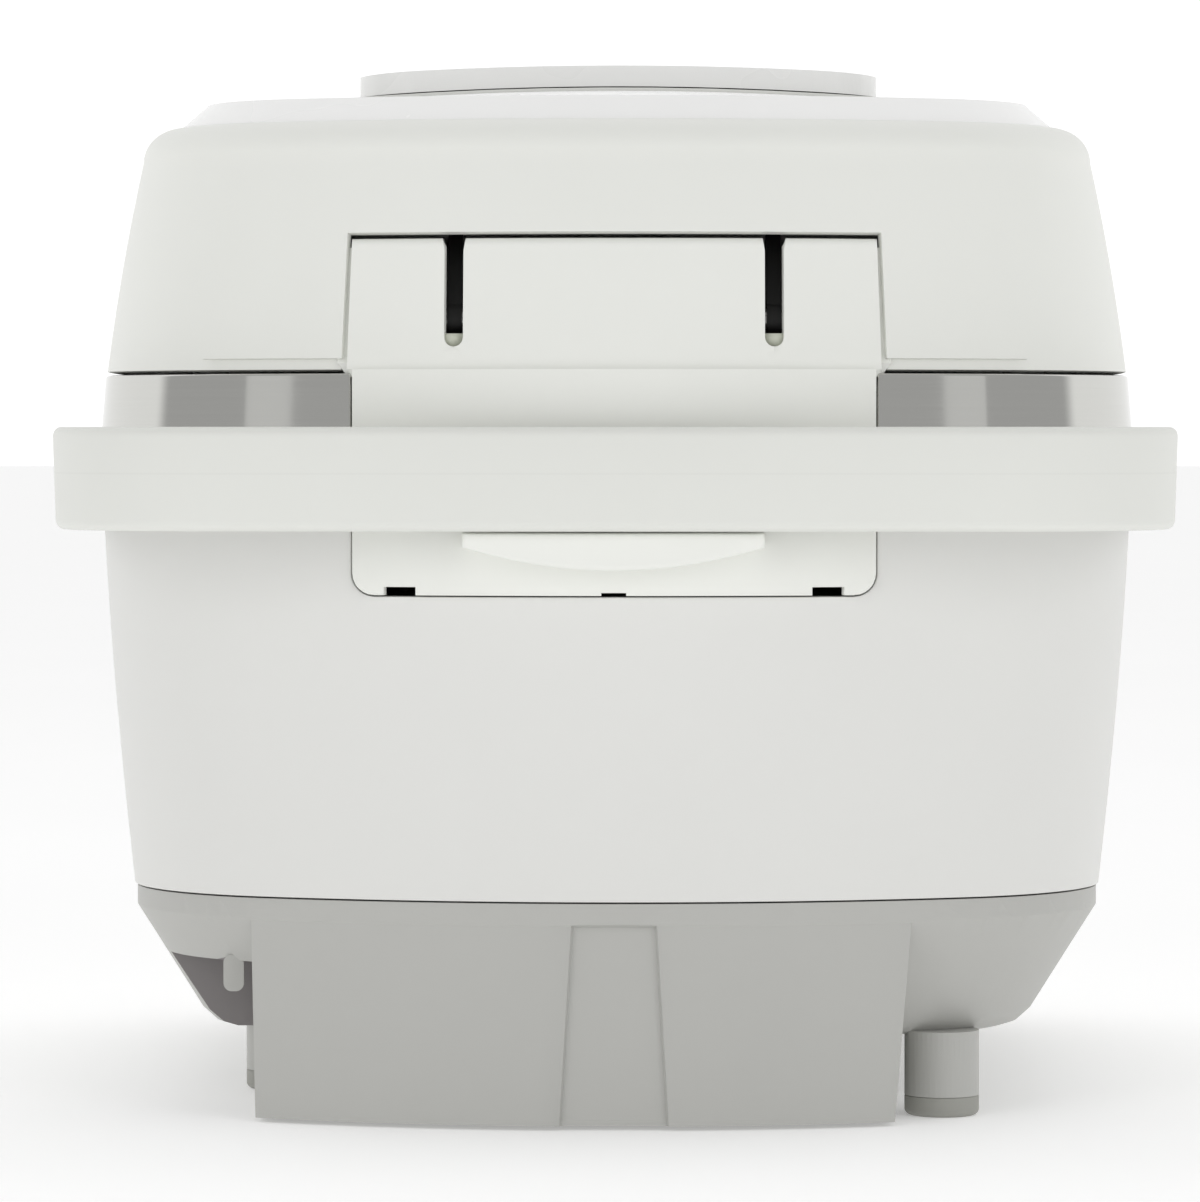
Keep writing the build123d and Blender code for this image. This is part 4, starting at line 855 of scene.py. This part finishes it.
@dataclass
class TopBezel:
    """Glossy frame round the lid's top: a sloped band up from the rim, then the crown."""

    finishes: Finishes
    plan: CasePlan = field(default_factory=CasePlan)
    crown: Crown = field(default_factory=Crown)
    rim_z: float = 244.0
    inset: float = 20.4
    band_width: float = 6.8
    band_height: float = 6.0
    trim: float = 2.35
    wall: float = 2.4
    hole_inset: float = 31.6
    hole_rear: float = 62.4
    hole_corner: float = 18.0

    def hole(self) -> np.ndarray:
        """Outline of the hole: the case's plan cut straight across at the rear, corners rounded.

        Returns:
            Array of columns x 2 that matches the plan's columns.
        """
        plan = self.plan
        reach = plan.side_radius - self.hole_inset
        side_x = plan.half_width - plan.side_radius
        corner_y = self.hole_rear - self.hole_corner
        corner_x = side_x + np.sqrt((reach - self.hole_corner) ** 2 - (corner_y - plan.middle) ** 2)
        turn = np.arctan2(corner_y - plan.middle, corner_x - side_x)
        side = turn * np.linspace(0, 1, plan.side_steps, endpoint=False)
        bend = turn + (np.pi / 2 - turn) * np.linspace(0, 1, plan.corner_steps, endpoint=False)
        across = corner_x * np.linspace(1, 0, plan.outer_steps + plan.inner_steps + 1)
        x = np.concatenate([side_x + reach * np.cos(side), corner_x + self.hole_corner * np.cos(bend),
                            across])
        y = np.concatenate([plan.middle + reach * np.sin(side), corner_y + self.hole_corner * np.sin(bend),
                            np.full(across.shape, self.hole_rear)])
        rear = np.stack([x, y], axis=-1)[None]
        front = plan.quarter([self.hole_inset], [0.0], [40.0], -1, corner=self.hole_corner + self.hole_inset)
        return plan.around(rear, front)[0]

    def build(self) -> None:
        """Build the band and the crown, which runs evenly from the band's top to the hole."""
        z = np.array([self.rim_z - 3.0, self.rim_z - 0.6])
        band = np.linspace(0, 1, 5)
        z = np.concatenate([z, self.rim_z + self.band_height * band])
        inset = np.concatenate([[self.inset, self.inset], self.inset + self.band_width * band])
        lower = self.plan.levels(z, inset, trim=self.trim)
        rim = lower[-1, :, :2]
        share = np.linspace(0, 1, 14)[:, None, None]
        plan = rim[None] * (1 - share) + self.hole()[None] * share
        top = self.crown.height(plan[..., 0], plan[..., 1])
        top = np.where(share[..., 0] == 0, self.rim_z + self.band_height, top)
        upper = np.concatenate([plan, top[..., None]], axis=-1)
        piece = mesh_object("top_bezel", [Grid(np.concatenate([lower, upper[1:]]))])
        thicken(piece, self.wall)
        round_edges(piece, 1.1, 22.0, 4)
        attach(piece, "lid")
        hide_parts("lid_top_bezel")
        self.finishes.put(piece, "bezel_white")


@dataclass
class CarryHandle:
    """Swinging bail: a bar across the rear with an arm down each side to a round pivot eye."""

    finishes: Finishes
    half_front: float = 139.0
    half_rear: float = 136.3
    rear: float = 175.0
    bar_thickness: float = 8.5
    arm_thickness: float = 5.2
    corner: float = 45.0
    pivot_y: float = -25.0
    pivot_z: float = 161.0
    eye: float = 8.5
    low: float = 144.6
    high: float = 169.4
    draft: float = 0.9
    rounding: float = 2.3

    def side_path(self, half_front: float, half_rear: float, rear: float, corner: float) -> np.ndarray:
        """One half of a plan outline: straight arm, quarter bend, half of the bar.

        Args:
            half_front: half-width at the eye's tip.
            half_rear: half-width at the rear corner.
            rear: y of the bar's face.
            corner: radius of the bend.

        Returns:
            Array of stations x 2, from the eye's tip to the middle of the bar.
        """
        tip = self.pivot_y - self.eye
        lean = np.arctan2(half_front - half_rear, rear - tip)
        # the bend's centre lies one radius in from both the leaning arm and the bar
        centre_y = rear - corner
        face_x = half_front - (half_front - half_rear) * (centre_y - tip) / (rear - tip)
        centre_x = face_x - corner / np.cos(lean)
        start = np.array([centre_x + corner * np.cos(lean), centre_y + corner * np.sin(lean)])
        eye_steps = tip + 2 * self.eye * (1 - np.cos(np.linspace(0.06, np.pi / 2, 14)))
        arm_y = np.concatenate([eye_steps, np.linspace(eye_steps[-1], start[1], 26)[1:-1]])
        arm_x = half_front + (start[0] - half_front) * (arm_y - tip) / (start[1] - tip)
        turn = np.linspace(lean, np.pi / 2, 24)
        bar = np.linspace(centre_x, 0, 22)[1:]
        return np.concatenate([
            np.stack([arm_x, arm_y], axis=-1),
            np.stack([centre_x + corner * np.cos(turn), centre_y + corner * np.sin(turn)], axis=-1),
            np.stack([bar, np.full(bar.shape, rear)], axis=-1)])

    def build(self) -> None:
        """Carry a rounded section along the bail.

        The section's width runs from the inner outline to the outer one. Its height is full at
        the bar, tapers evenly along the arms and closes as a circle round each pivot.
        """
        outer = self.side_path(self.half_front, self.half_rear, self.rear, self.corner)
        inner = self.side_path(self.half_front - self.arm_thickness, self.half_rear - self.arm_thickness,
                               self.rear - self.bar_thickness, self.corner - self.arm_thickness)
        y = outer[:, 1]
        share = np.clip((y - self.pivot_y) / (self.rear - self.corner - self.pivot_y), 0, 1)
        eye_top, eye_bottom = self.pivot_z + self.eye, self.pivot_z - self.eye
        top = eye_top + (self.high - eye_top) * share
        bottom = eye_bottom + (self.low - eye_bottom) * share
        round_half = np.sqrt(np.clip(self.eye ** 2 - (self.pivot_y - y) ** 2, 0.4, None))
        past = y < self.pivot_y
        top = np.where(past, self.pivot_z + round_half, top)
        bottom = np.where(past, self.pivot_z - round_half, bottom)
        flip = np.array([-1.0, 1.0])
        outer = np.concatenate([outer, (outer * flip)[-2::-1]])
        inner = np.concatenate([inner, (inner * flip)[-2::-1]])
        top, bottom = np.concatenate([top, top[-2::-1]]), np.concatenate([bottom, bottom[-2::-1]])
        middle, half = (top + bottom) / 2, (top - bottom) / 2
        across = outer - inner
        thick = np.linalg.norm(across, axis=-1)
        # the section's unit outline: a rectangle whose corners are quarter circles
        corner = np.minimum(self.rounding, np.minimum(thick / 2, half) * 0.92)
        angle = np.linspace(0, np.pi / 2, 7)
        turn = (np.arange(4)[:, None] * np.pi / 2 + angle[None]).reshape(-1)
        sign = np.repeat(np.array([[1, 1], [-1, 1], [-1, -1], [1, -1]]), 7, axis=0)
        wide = sign[None, :, 0] * (thick / 2 - corner)[:, None] + corner[:, None] * np.cos(turn)[None]
        tall = sign[None, :, 1] * (half - corner)[:, None] + corner[:, None] * np.sin(turn)[None]
        # moulding draft: the outer face leans in a little towards the bottom
        lean = self.draft * (half[:, None] - tall) / (2 * half.max()) * (wide > 0)
        centre = (outer + inner) / 2
        plan = centre[:, None] + (across / thick[:, None])[:, None] * (wide - lean)[..., None]
        z = middle[:, None] + tall
        points = np.concatenate([plan, z[..., None]], axis=-1)
        piece = mesh_object("carry_handle", [Grid(points[:, ::-1], cap_first=True, cap_last=True)])
        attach(piece, "handle")
        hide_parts("handle")
        self.finishes.put(piece, "handle_white", "lid_white")


@dataclass
class HingeCover:
    """White cover over the hinge: a plate low down, a barrel above, two slots and a small ledge."""

    finishes: Finishes
    plan: CasePlan = field(default_factory=CasePlan)
    bottom_z: float = 129.1
    step_z: float = 183.2
    top_z: float = 214.7
    lower_half: float = 62.8
    upper_half_bottom: float = 64.2
    upper_half_top: float = 63.2
    lower_inset: float = 0.2
    skin: float = 0.4
    corner: float = 5.3
    wall: float = 2.3
    axis_y: float = 144.5
    axis_z: float = 195.0
    barrel: float = 22.9
    slot_x: float = 38.4
    slot_half: float = 2.275
    slot_bottom_z: float = 188.6
    slot_flare: float = 0.5
    window_x: float = 51.3
    window_half: float = 3.85
    window_top_z: float = 131.1
    notch_half: float = 3.0
    notch_top_z: float = 129.8
    ledge_half: float = 35.9
    ledge_top_z: float = 144.2
    ledge_side: float = 3.4
    ledge_drop: float = 9.0
    ledge_start_y: float = 159.0
    ledge_end_y: float = 169.6
    sill_y: float = 153.6
    sill_height: float = 0.9
    sill_thickness: float = 1.2
    sill_lap: float = 0.3
    ledge_round: float = 1.1
    core_y: float = 146.0
    core_z: float = 189.0
    flare_height: float = 3.0
    stretch_from: float = 57.0

    def columns(self) -> np.ndarray:
        """Places across the cover, as shares of its half-width, with one at every opening's edge."""
        edges = [self.slot_x - self.slot_half, self.slot_x + self.slot_half, self.window_x - self.window_half,
                 self.window_x + self.window_half, self.notch_half]
        rounded = self.lower_half - self.corner * (1 - np.cos(np.linspace(0, np.pi / 2, 7)))
        right = np.unique(np.round(np.concatenate([np.linspace(0, 56, 20), edges, rounded]), 4))
        return np.concatenate([-right[:0:-1], right])

    def build_shell(self) -> None:
        """Carry the side view across the width.

        The side view goes up the rear wall, over the flat top and down the barrel, whose points
        are the hinge axis plus the radius times cosine and sine.
        """
        x = self.columns()
        slot_rows = self.slot_bottom_z + (self.slot_half * (1 - np.cos(np.linspace(0, np.pi / 2, 6))))
        corner_rows = self.bottom_z + self.corner * (1 - np.cos(np.linspace(0, np.pi / 2, 7)))
        low_z = np.unique(np.round(np.concatenate([
            corner_rows, [self.notch_top_z, self.window_top_z], np.linspace(138, self.step_z, 10)]), 4))
        high_z = np.unique(np.round(np.concatenate([
            [self.step_z, 185.0, 187.0], slot_rows, np.linspace(194, self.top_z - 4.5, 8),
            self.top_z - 3.4 + np.linspace(0, 1.0, 3)]), 4))
        low = np.stack([np.full(low_z.shape, self.lower_inset), 0 * low_z], axis=-1)
        height = high_z - self.step_z
        high = np.stack([lid_side(height) + self.skin, REAR_LEAN * height], axis=-1)
        rear_z = np.concatenate([low_z, high_z])
        offset = np.concatenate([low, high])
        rear = self.plan.rear_y(x[None], offset[:, :1], offset[:, 1:])
        top_y = rear[-1:]
        # rounded top edge, then the flat top
        bend = np.linspace(0, np.pi / 2, 8)[1:, None]
        radius = self.top_z - rear_z[-1]
        edge_y = top_y - radius * (1 - np.cos(bend))
        edge_z = rear_z[-1] + radius * np.sin(bend)
        front_turn = np.arcsin((self.top_z - self.axis_z) / self.barrel)
        front_y = self.axis_y - self.barrel * np.cos(front_turn)
        share = np.linspace(0, 1, 7)[1:, None]
        flat_y = edge_y[-1:] + (front_y - edge_y[-1:]) * share
        low_turn = np.arcsin((self.step_z - self.axis_z) / self.barrel)
        front_slot = np.arcsin((slot_rows - self.axis_z) / self.barrel)
        turn = np.concatenate([np.linspace(low_turn, front_turn, 20), front_slot])
        turn = np.unique(np.round(turn, 5))[::-1][1:]
        barrel_y = self.axis_y - self.barrel * np.cos(turn)[:, None] + 0 * x[None]
        barrel_z = self.axis_z + self.barrel * np.sin(turn)
        y = np.concatenate([rear, edge_y, flat_y, barrel_y])
        z = np.concatenate([rear_z, edge_z[:, 0], np.full(6, self.top_z), barrel_z])
        rows = len(z)
        is_low = np.arange(rows) < len(low_z)
        share_up = np.clip((z - self.step_z) / (self.top_z - self.step_z), 0, 1)
        half = np.where(is_low, self.lower_half,
                        self.upper_half_bottom + (self.upper_half_top - self.upper_half_bottom) * share_up)
        # only the outermost columns stretch, so that openings keep their places
        wide = np.broadcast_to(x[None], (rows, len(x))).copy()
        push = np.clip((np.abs(x) - self.stretch_from) / (self.lower_half - self.stretch_from), 0, 1)
        wide += np.sign(x)[None] * push[None] * (half - self.lower_half)[:, None]
        # rounded lower corners: half-width shrinks as a quarter circle
        drop = np.clip((self.bottom_z + self.corner - z) / self.corner, 0, 1)
        limit = self.lower_half - self.corner * (1 - np.sqrt(1 - drop ** 2))
        wide = np.where(is_low[:, None], np.clip(wide, -limit[:, None], limit[:, None]), wide)
        # slot ends are half circles, and the slots flare a little at the top
        below = np.clip((self.slot_bottom_z + self.slot_half - z) / self.slot_half, 0, 1)
        slot = self.slot_half * np.sqrt(1 - below ** 2) + self.slot_flare * np.clip(
            (z - self.top_z + self.flare_height) / self.flare_height, 0, 1)
        slot = np.where(z < self.slot_bottom_z, self.slot_half, slot)
        for sign in (-1, 1):
            for edge in (-1, 1):
                column = np.argmin(np.abs(x - (sign * self.slot_x + edge * self.slot_half)))
                wide[~is_low, column] = (sign * self.slot_x + edge * slot)[~is_low]
        points = np.stack([wide, y, np.broadcast_to(z[:, None], y.shape)], axis=-1)[:, ::-1]
        middle_x = (x[::-1][1:] + x[::-1][:-1])[None] / 2
        middle_z = (z[1:] + z[:-1])[:, None] / 2
        upper = (np.arange(rows - 1) >= len(low_z))[:, None]
        slots = ((np.abs(np.abs(middle_x) - self.slot_x) < self.slot_half) & upper
                 & (middle_z > self.slot_bottom_z))
        windows = ((np.abs(np.abs(middle_x) - self.window_x) < self.window_half)
                   & (middle_z < self.window_top_z))
        notch = (np.abs(middle_x) < self.notch_half) & (middle_z < self.notch_top_z)
        grids = [Grid(points, closed=False, keep=~(slots | (~upper & (windows | notch))))]
        # end walls: the upper side view drawn in to a core line, closed there
        core = np.array([self.core_y, self.core_z])
        for column, order in ((0, 1), (-1, -1)):
            ring = points[len(low_z):, column]
            share = np.linspace(0, 1, 4)[:, None, None]
            plan = ring[None, :, 1:] * (1 - 0.8 * share) + core * 0.8 * share
            wall = np.concatenate([np.broadcast_to(ring[None, :, :1], (*plan.shape[:2], 1)), plan], axis=-1)
            grids.append(Grid(wall[:, ::-order], closed=False))
        piece = mesh_object("hinge_cover", grids)
        thicken(piece, self.wall)
        round_edges(piece, 0.55, 30.0)
        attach(piece, "root")
        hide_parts("rear_hinge_cover")
        self.finishes.put(piece, "cover_white", "white_shell")

    def build_ledge(self) -> None:
        """Build the ledge under the handle: flat on top, a shallow arc below, its end rounded."""
        across = np.linspace(-1, 1, 41)
        top = self.ledge_top_z + 0 * across
        bottom = self.ledge_top_z - self.ledge_side - (self.ledge_drop - self.ledge_side) * (1 - across ** 2)
        loop = np.concatenate([np.stack([across * self.ledge_half, bottom], axis=-1),
                               np.stack([-across * self.ledge_half, top], axis=-1)])
        middle = np.array([0.0, self.ledge_top_z - 3.5])
        angle = np.linspace(0, np.pi / 2, 6)
        draw = np.concatenate([[0.0], self.ledge_round * (1 - np.cos(angle))])
        depth = np.concatenate([[self.ledge_start_y], self.ledge_end_y - self.ledge_round
                                + self.ledge_round * np.sin(angle)])
        room = np.array([self.ledge_half, 4.4])
        scale = 1 - draw[:, None] / room[None]
        plan = middle + (loop - middle)[None] * scale[:, None]
        piece = mesh_object("handle_ledge", [Grid(set_depth(plan, depth)[:, ::-1], cap_last=True)])
        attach(piece, "root")
        self.finishes.put(piece, "cover_white", "white_shell")

    def build_sills(self) -> None:
        """Build the small set-back floor at the foot of each slot: a half disc with a flat top."""
        angle = np.linspace(np.pi, 2 * np.pi, 17)
        reach = self.slot_half + self.sill_lap
        for side in Side:
            loop = np.stack([side.value * self.slot_x + reach * np.cos(angle),
                             self.slot_bottom_z + self.slot_half + reach * np.sin(angle)], axis=-1)
            rise = np.array([[0.0, self.sill_height]])
            loop = np.concatenate([loop, loop[-1:] + rise, loop[:1] + rise])
            depth = np.array([self.sill_y - self.sill_thickness, self.sill_y])
            plan = np.broadcast_to(loop[None], (2, *loop.shape))
            piece = mesh_object(f"slot_sill_{side.name.lower()}",
                                [Grid(set_depth(plan, depth)[:, ::-1], cap_first=True, cap_last=True)])
            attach(piece, "root")
            self.finishes.put(piece, "sill_grey", "white_shell")

    def build(self) -> None:
        """Build the cover, its ledge and the sills of its slots."""
        self.build_shell()
        self.build_ledge()
        self.build_sills()


@dataclass
class DesignedParts:
    """Parts that keep their designed shape: some get moulded edges, all get a finish."""

    finishes: Finishes
    pocket_low: tuple[float, float, float] = (88.3, 97.7, 19.0)
    pocket_high: tuple[float, float, float] = (116.3, 170.0, 38.8)
    tab_low: tuple[float, float, float] = (90.9, 121.4, 30.8)
    tab_high: tuple[float, float, float] = (96.3, 124.0, 38.8)

    def build(self) -> int:
        """Round what shows and dress every remaining node.

        Returns:
            How many nodes were dressed.
        """
        rounded = [
            ("base_tub", 0.6, "root", "grey_base"), ("rubber_feet", 0.4, "root", "rubber"),
            # painted light: the steam cap takes the brighter gloss white to lift its rear face, which renders
            # darker than the lid
            ("steam_cap", 1.0, "steam_cap", "bezel_white"), ("lid_top_panel", 0.45, "lid", "panel"),
            ("latch_button", 0.7, "latch_button", "bezel_white"),
            ("start_key", 0.5, "start_key", "accent_key"), ("cancel_key", 0.5, "cancel_key", "key_plastic"),
        ]
        for node, width, body, slot in rounded:
            piece = softened(node, width, body)
            self.finishes.put(piece, slot)
            # the base's plug pocket gets painted shade
            if node == "base_tub":
                self.paint_pocket_shade(piece)
        slots = {part["node"]: part["material_slot"] for part in frame["record"]["subparts"]}
        # the arms' near-black finish also stands for the shade inside the cover's slots
        slots["lid_hinge_arms"] = "hinge_black_slot_shade"
        for node, shape in frame["nodes"].items():
            self.finishes.put(shape, slots.get(node, "frame_plastic"))
        return len(frame["nodes"])

    def paint_pocket_shade(self, tub: bpy.types.Object) -> None:
        """Give the walls of the plug pocket, but not its tab, the darker finish: painted shade for the deep
        recess.

        Args:
            tub: the base.
        """
        tub.data.materials.append(self.finishes.made["pocket_painted_shade"])
        middle = np.zeros(len(tub.data.polygons) * 3)
        tub.data.polygons.foreach_get("center", middle)
        middle = middle.reshape(-1, 3) / MM
        pocket = np.all((middle > self.pocket_low) & (middle < self.pocket_high), axis=1)
        tab = np.all((middle > self.tab_low) & (middle < self.tab_high), axis=1)
        # painted shade: the pocket's faces, less the tab, take the darker grey
        tub.data.polygons.foreach_set("material_index", (pocket & ~tab).astype(np.int32))
        tub.data.update()


# ------------------------------------------------------------------ studio
@dataclass
class Studio:
    """Pale floor, white surround, soft lights and the camera."""

    eye: tuple[float, float, float] = (-0.013, 1.560, 0.1675)
    target: tuple[float, float, float] = (0.0042, 0.080, 0.1256)
    focal_mm: float = 175.806988
    film_mm: float = 36.0
    light_aim_z: float = 0.12

    def floor(self) -> None:
        """Lay a pale floor far wider than the object."""
        bpy.ops.mesh.primitive_plane_add(size=60.0, location=(0, 0, 0))
        plane = bpy.context.object
        plane.name = "floor"
        material, tree, place = new_material("pale_floor")
        mottle = add_node(tree, "ShaderNodeTexNoise", {"Scale": 3.0}, {"Vector": place})
        tint = add_node(tree, "ShaderNodeMix", {
            "data_type": "RGBA", 6: (0.93, 0.93, 0.93, 1), 7: (0.96, 0.96, 0.96, 1)},
            {0: mottle.outputs["Fac"]})
        shader = add_node(tree, "ShaderNodeBsdfPrincipled", {
            "Roughness": 0.9, "Specular IOR Level": 0.2, "Emission Color": (1, 1, 1, 1),
            "Emission Strength": 0.22}, {"Base Color": tint.outputs[2]})
        add_node(tree, "ShaderNodeOutputMaterial", links={"Surface": shader.outputs[0]})
        plane.data.materials.append(material)

    def surround(self) -> None:
        """Light the room evenly, a little dimmer from the hinge side, and show it white."""
        world = bpy.data.worlds.new("surround")
        bpy.context.scene.world = world
        world.use_nodes = True
        tree = world.node_tree
        tree.nodes.clear()
        way = add_node(tree, "ShaderNodeTexCoord").outputs["Generated"]
        split = add_node(tree, "ShaderNodeSeparateXYZ", links={0: way})
        dim = add_node(tree, "ShaderNodeMapRange", {
            "interpolation_type": "SMOOTHSTEP", "From Min": -0.2, "From Max": -0.04, "To Min": 1.05,
            "To Max": 0.5}, {"Value": split.outputs["Y"]})
        seen = add_node(tree, "ShaderNodeLightPath").outputs["Is Camera Ray"]
        level = add_node(tree, "ShaderNodeMix", {"data_type": "FLOAT", 3: 1.15}, {0: seen, 2: dim.outputs[0]})
        back = add_node(tree, "ShaderNodeBackground", {"Color": (1, 1, 1, 1)}, {"Strength": level.outputs[0]})
        add_node(tree, "ShaderNodeOutputWorld", links={"Surface": back.outputs[0]})

    def softbox(self, name: str, place: tuple[float, float, float], size: tuple[float, float],
                watts: float, mirrored: bool = True) -> None:
        """Hang one soft rectangular light that faces the object.

        Args:
            name: name of the light.
            place: where it hangs, in metres.
            size: its width and height in metres.
            watts: its power.
            mirrored: whether glossy surfaces show it.
        """
        lamp = bpy.data.lights.new(name, "AREA")
        lamp.shape = "RECTANGLE"
        lamp.size, lamp.size_y = size
        lamp.energy = watts
        made = bpy.data.objects.new(name, lamp)
        made.location = place
        made.visible_glossy = mirrored
        aim = Vector((0, 0, self.light_aim_z)) - Vector(place)
        made.rotation_euler = aim.to_track_quat("-Z", "Y").to_euler()
        bpy.context.scene.collection.objects.link(made)

    def camera(self) -> None:
        """Set the camera level with the trim ring, far off, on the hinge side."""
        lens = bpy.data.cameras.new("camera")
        lens.sensor_width = self.film_mm
        lens.sensor_fit = "AUTO"
        lens.lens = self.focal_mm
        lens.clip_end = 100.0
        made = bpy.data.objects.new("camera", lens)
        made.location = self.eye
        made.rotation_euler = (Vector(self.target) - Vector(self.eye)).to_track_quat("-Z", "Y").to_euler()
        bpy.context.scene.collection.objects.link(made)
        bpy.context.scene.camera = made

    def build(self) -> None:
        """Build the floor, the surround, the lights and the camera."""
        bpy.context.scene.view_settings.view_transform = "Standard"
        self.floor()
        self.surround()
        self.softbox("strip_left", (1.45, 1.40, 0.35), (0.26, 1.0), 0.2)
        self.softbox("strip_right", (-1.45, 1.40, 0.35), (0.26, 1.0), 0.2)
        self.softbox("fill_left", (1.6, 2.2, 1.0), (1.2, 1.4), 9.0, False)
        self.softbox("fill_right", (-1.6, 2.2, 1.0), (1.2, 1.4), 9.0, False)
        self.softbox("fill_top", (0.0, 0.2, 2.2), (1.6, 1.6), 1.5, False)
        self.camera()


def main() -> None:
    """Build the cooker in order: finishes, shells, handle, cover, the other parts, the studio."""
    finishes = Finishes()
    finishes.build()
    log.info("%d finishes", len(finishes.made))
    Case(finishes).build()
    log.info("case and lid shells")
    TopBezel(finishes).build()
    log.info("top bezel")
    CarryHandle(finishes).build()
    log.info("carrying handle")
    HingeCover(finishes).build()
    log.info("hinge cover")
    log.info("%d designed parts", DesignedParts(finishes).build())
    Studio().build()
    bpy.context.view_layer.update()


if __name__ == "__main__":
    logging.basicConfig(level=logging.INFO)
    main()
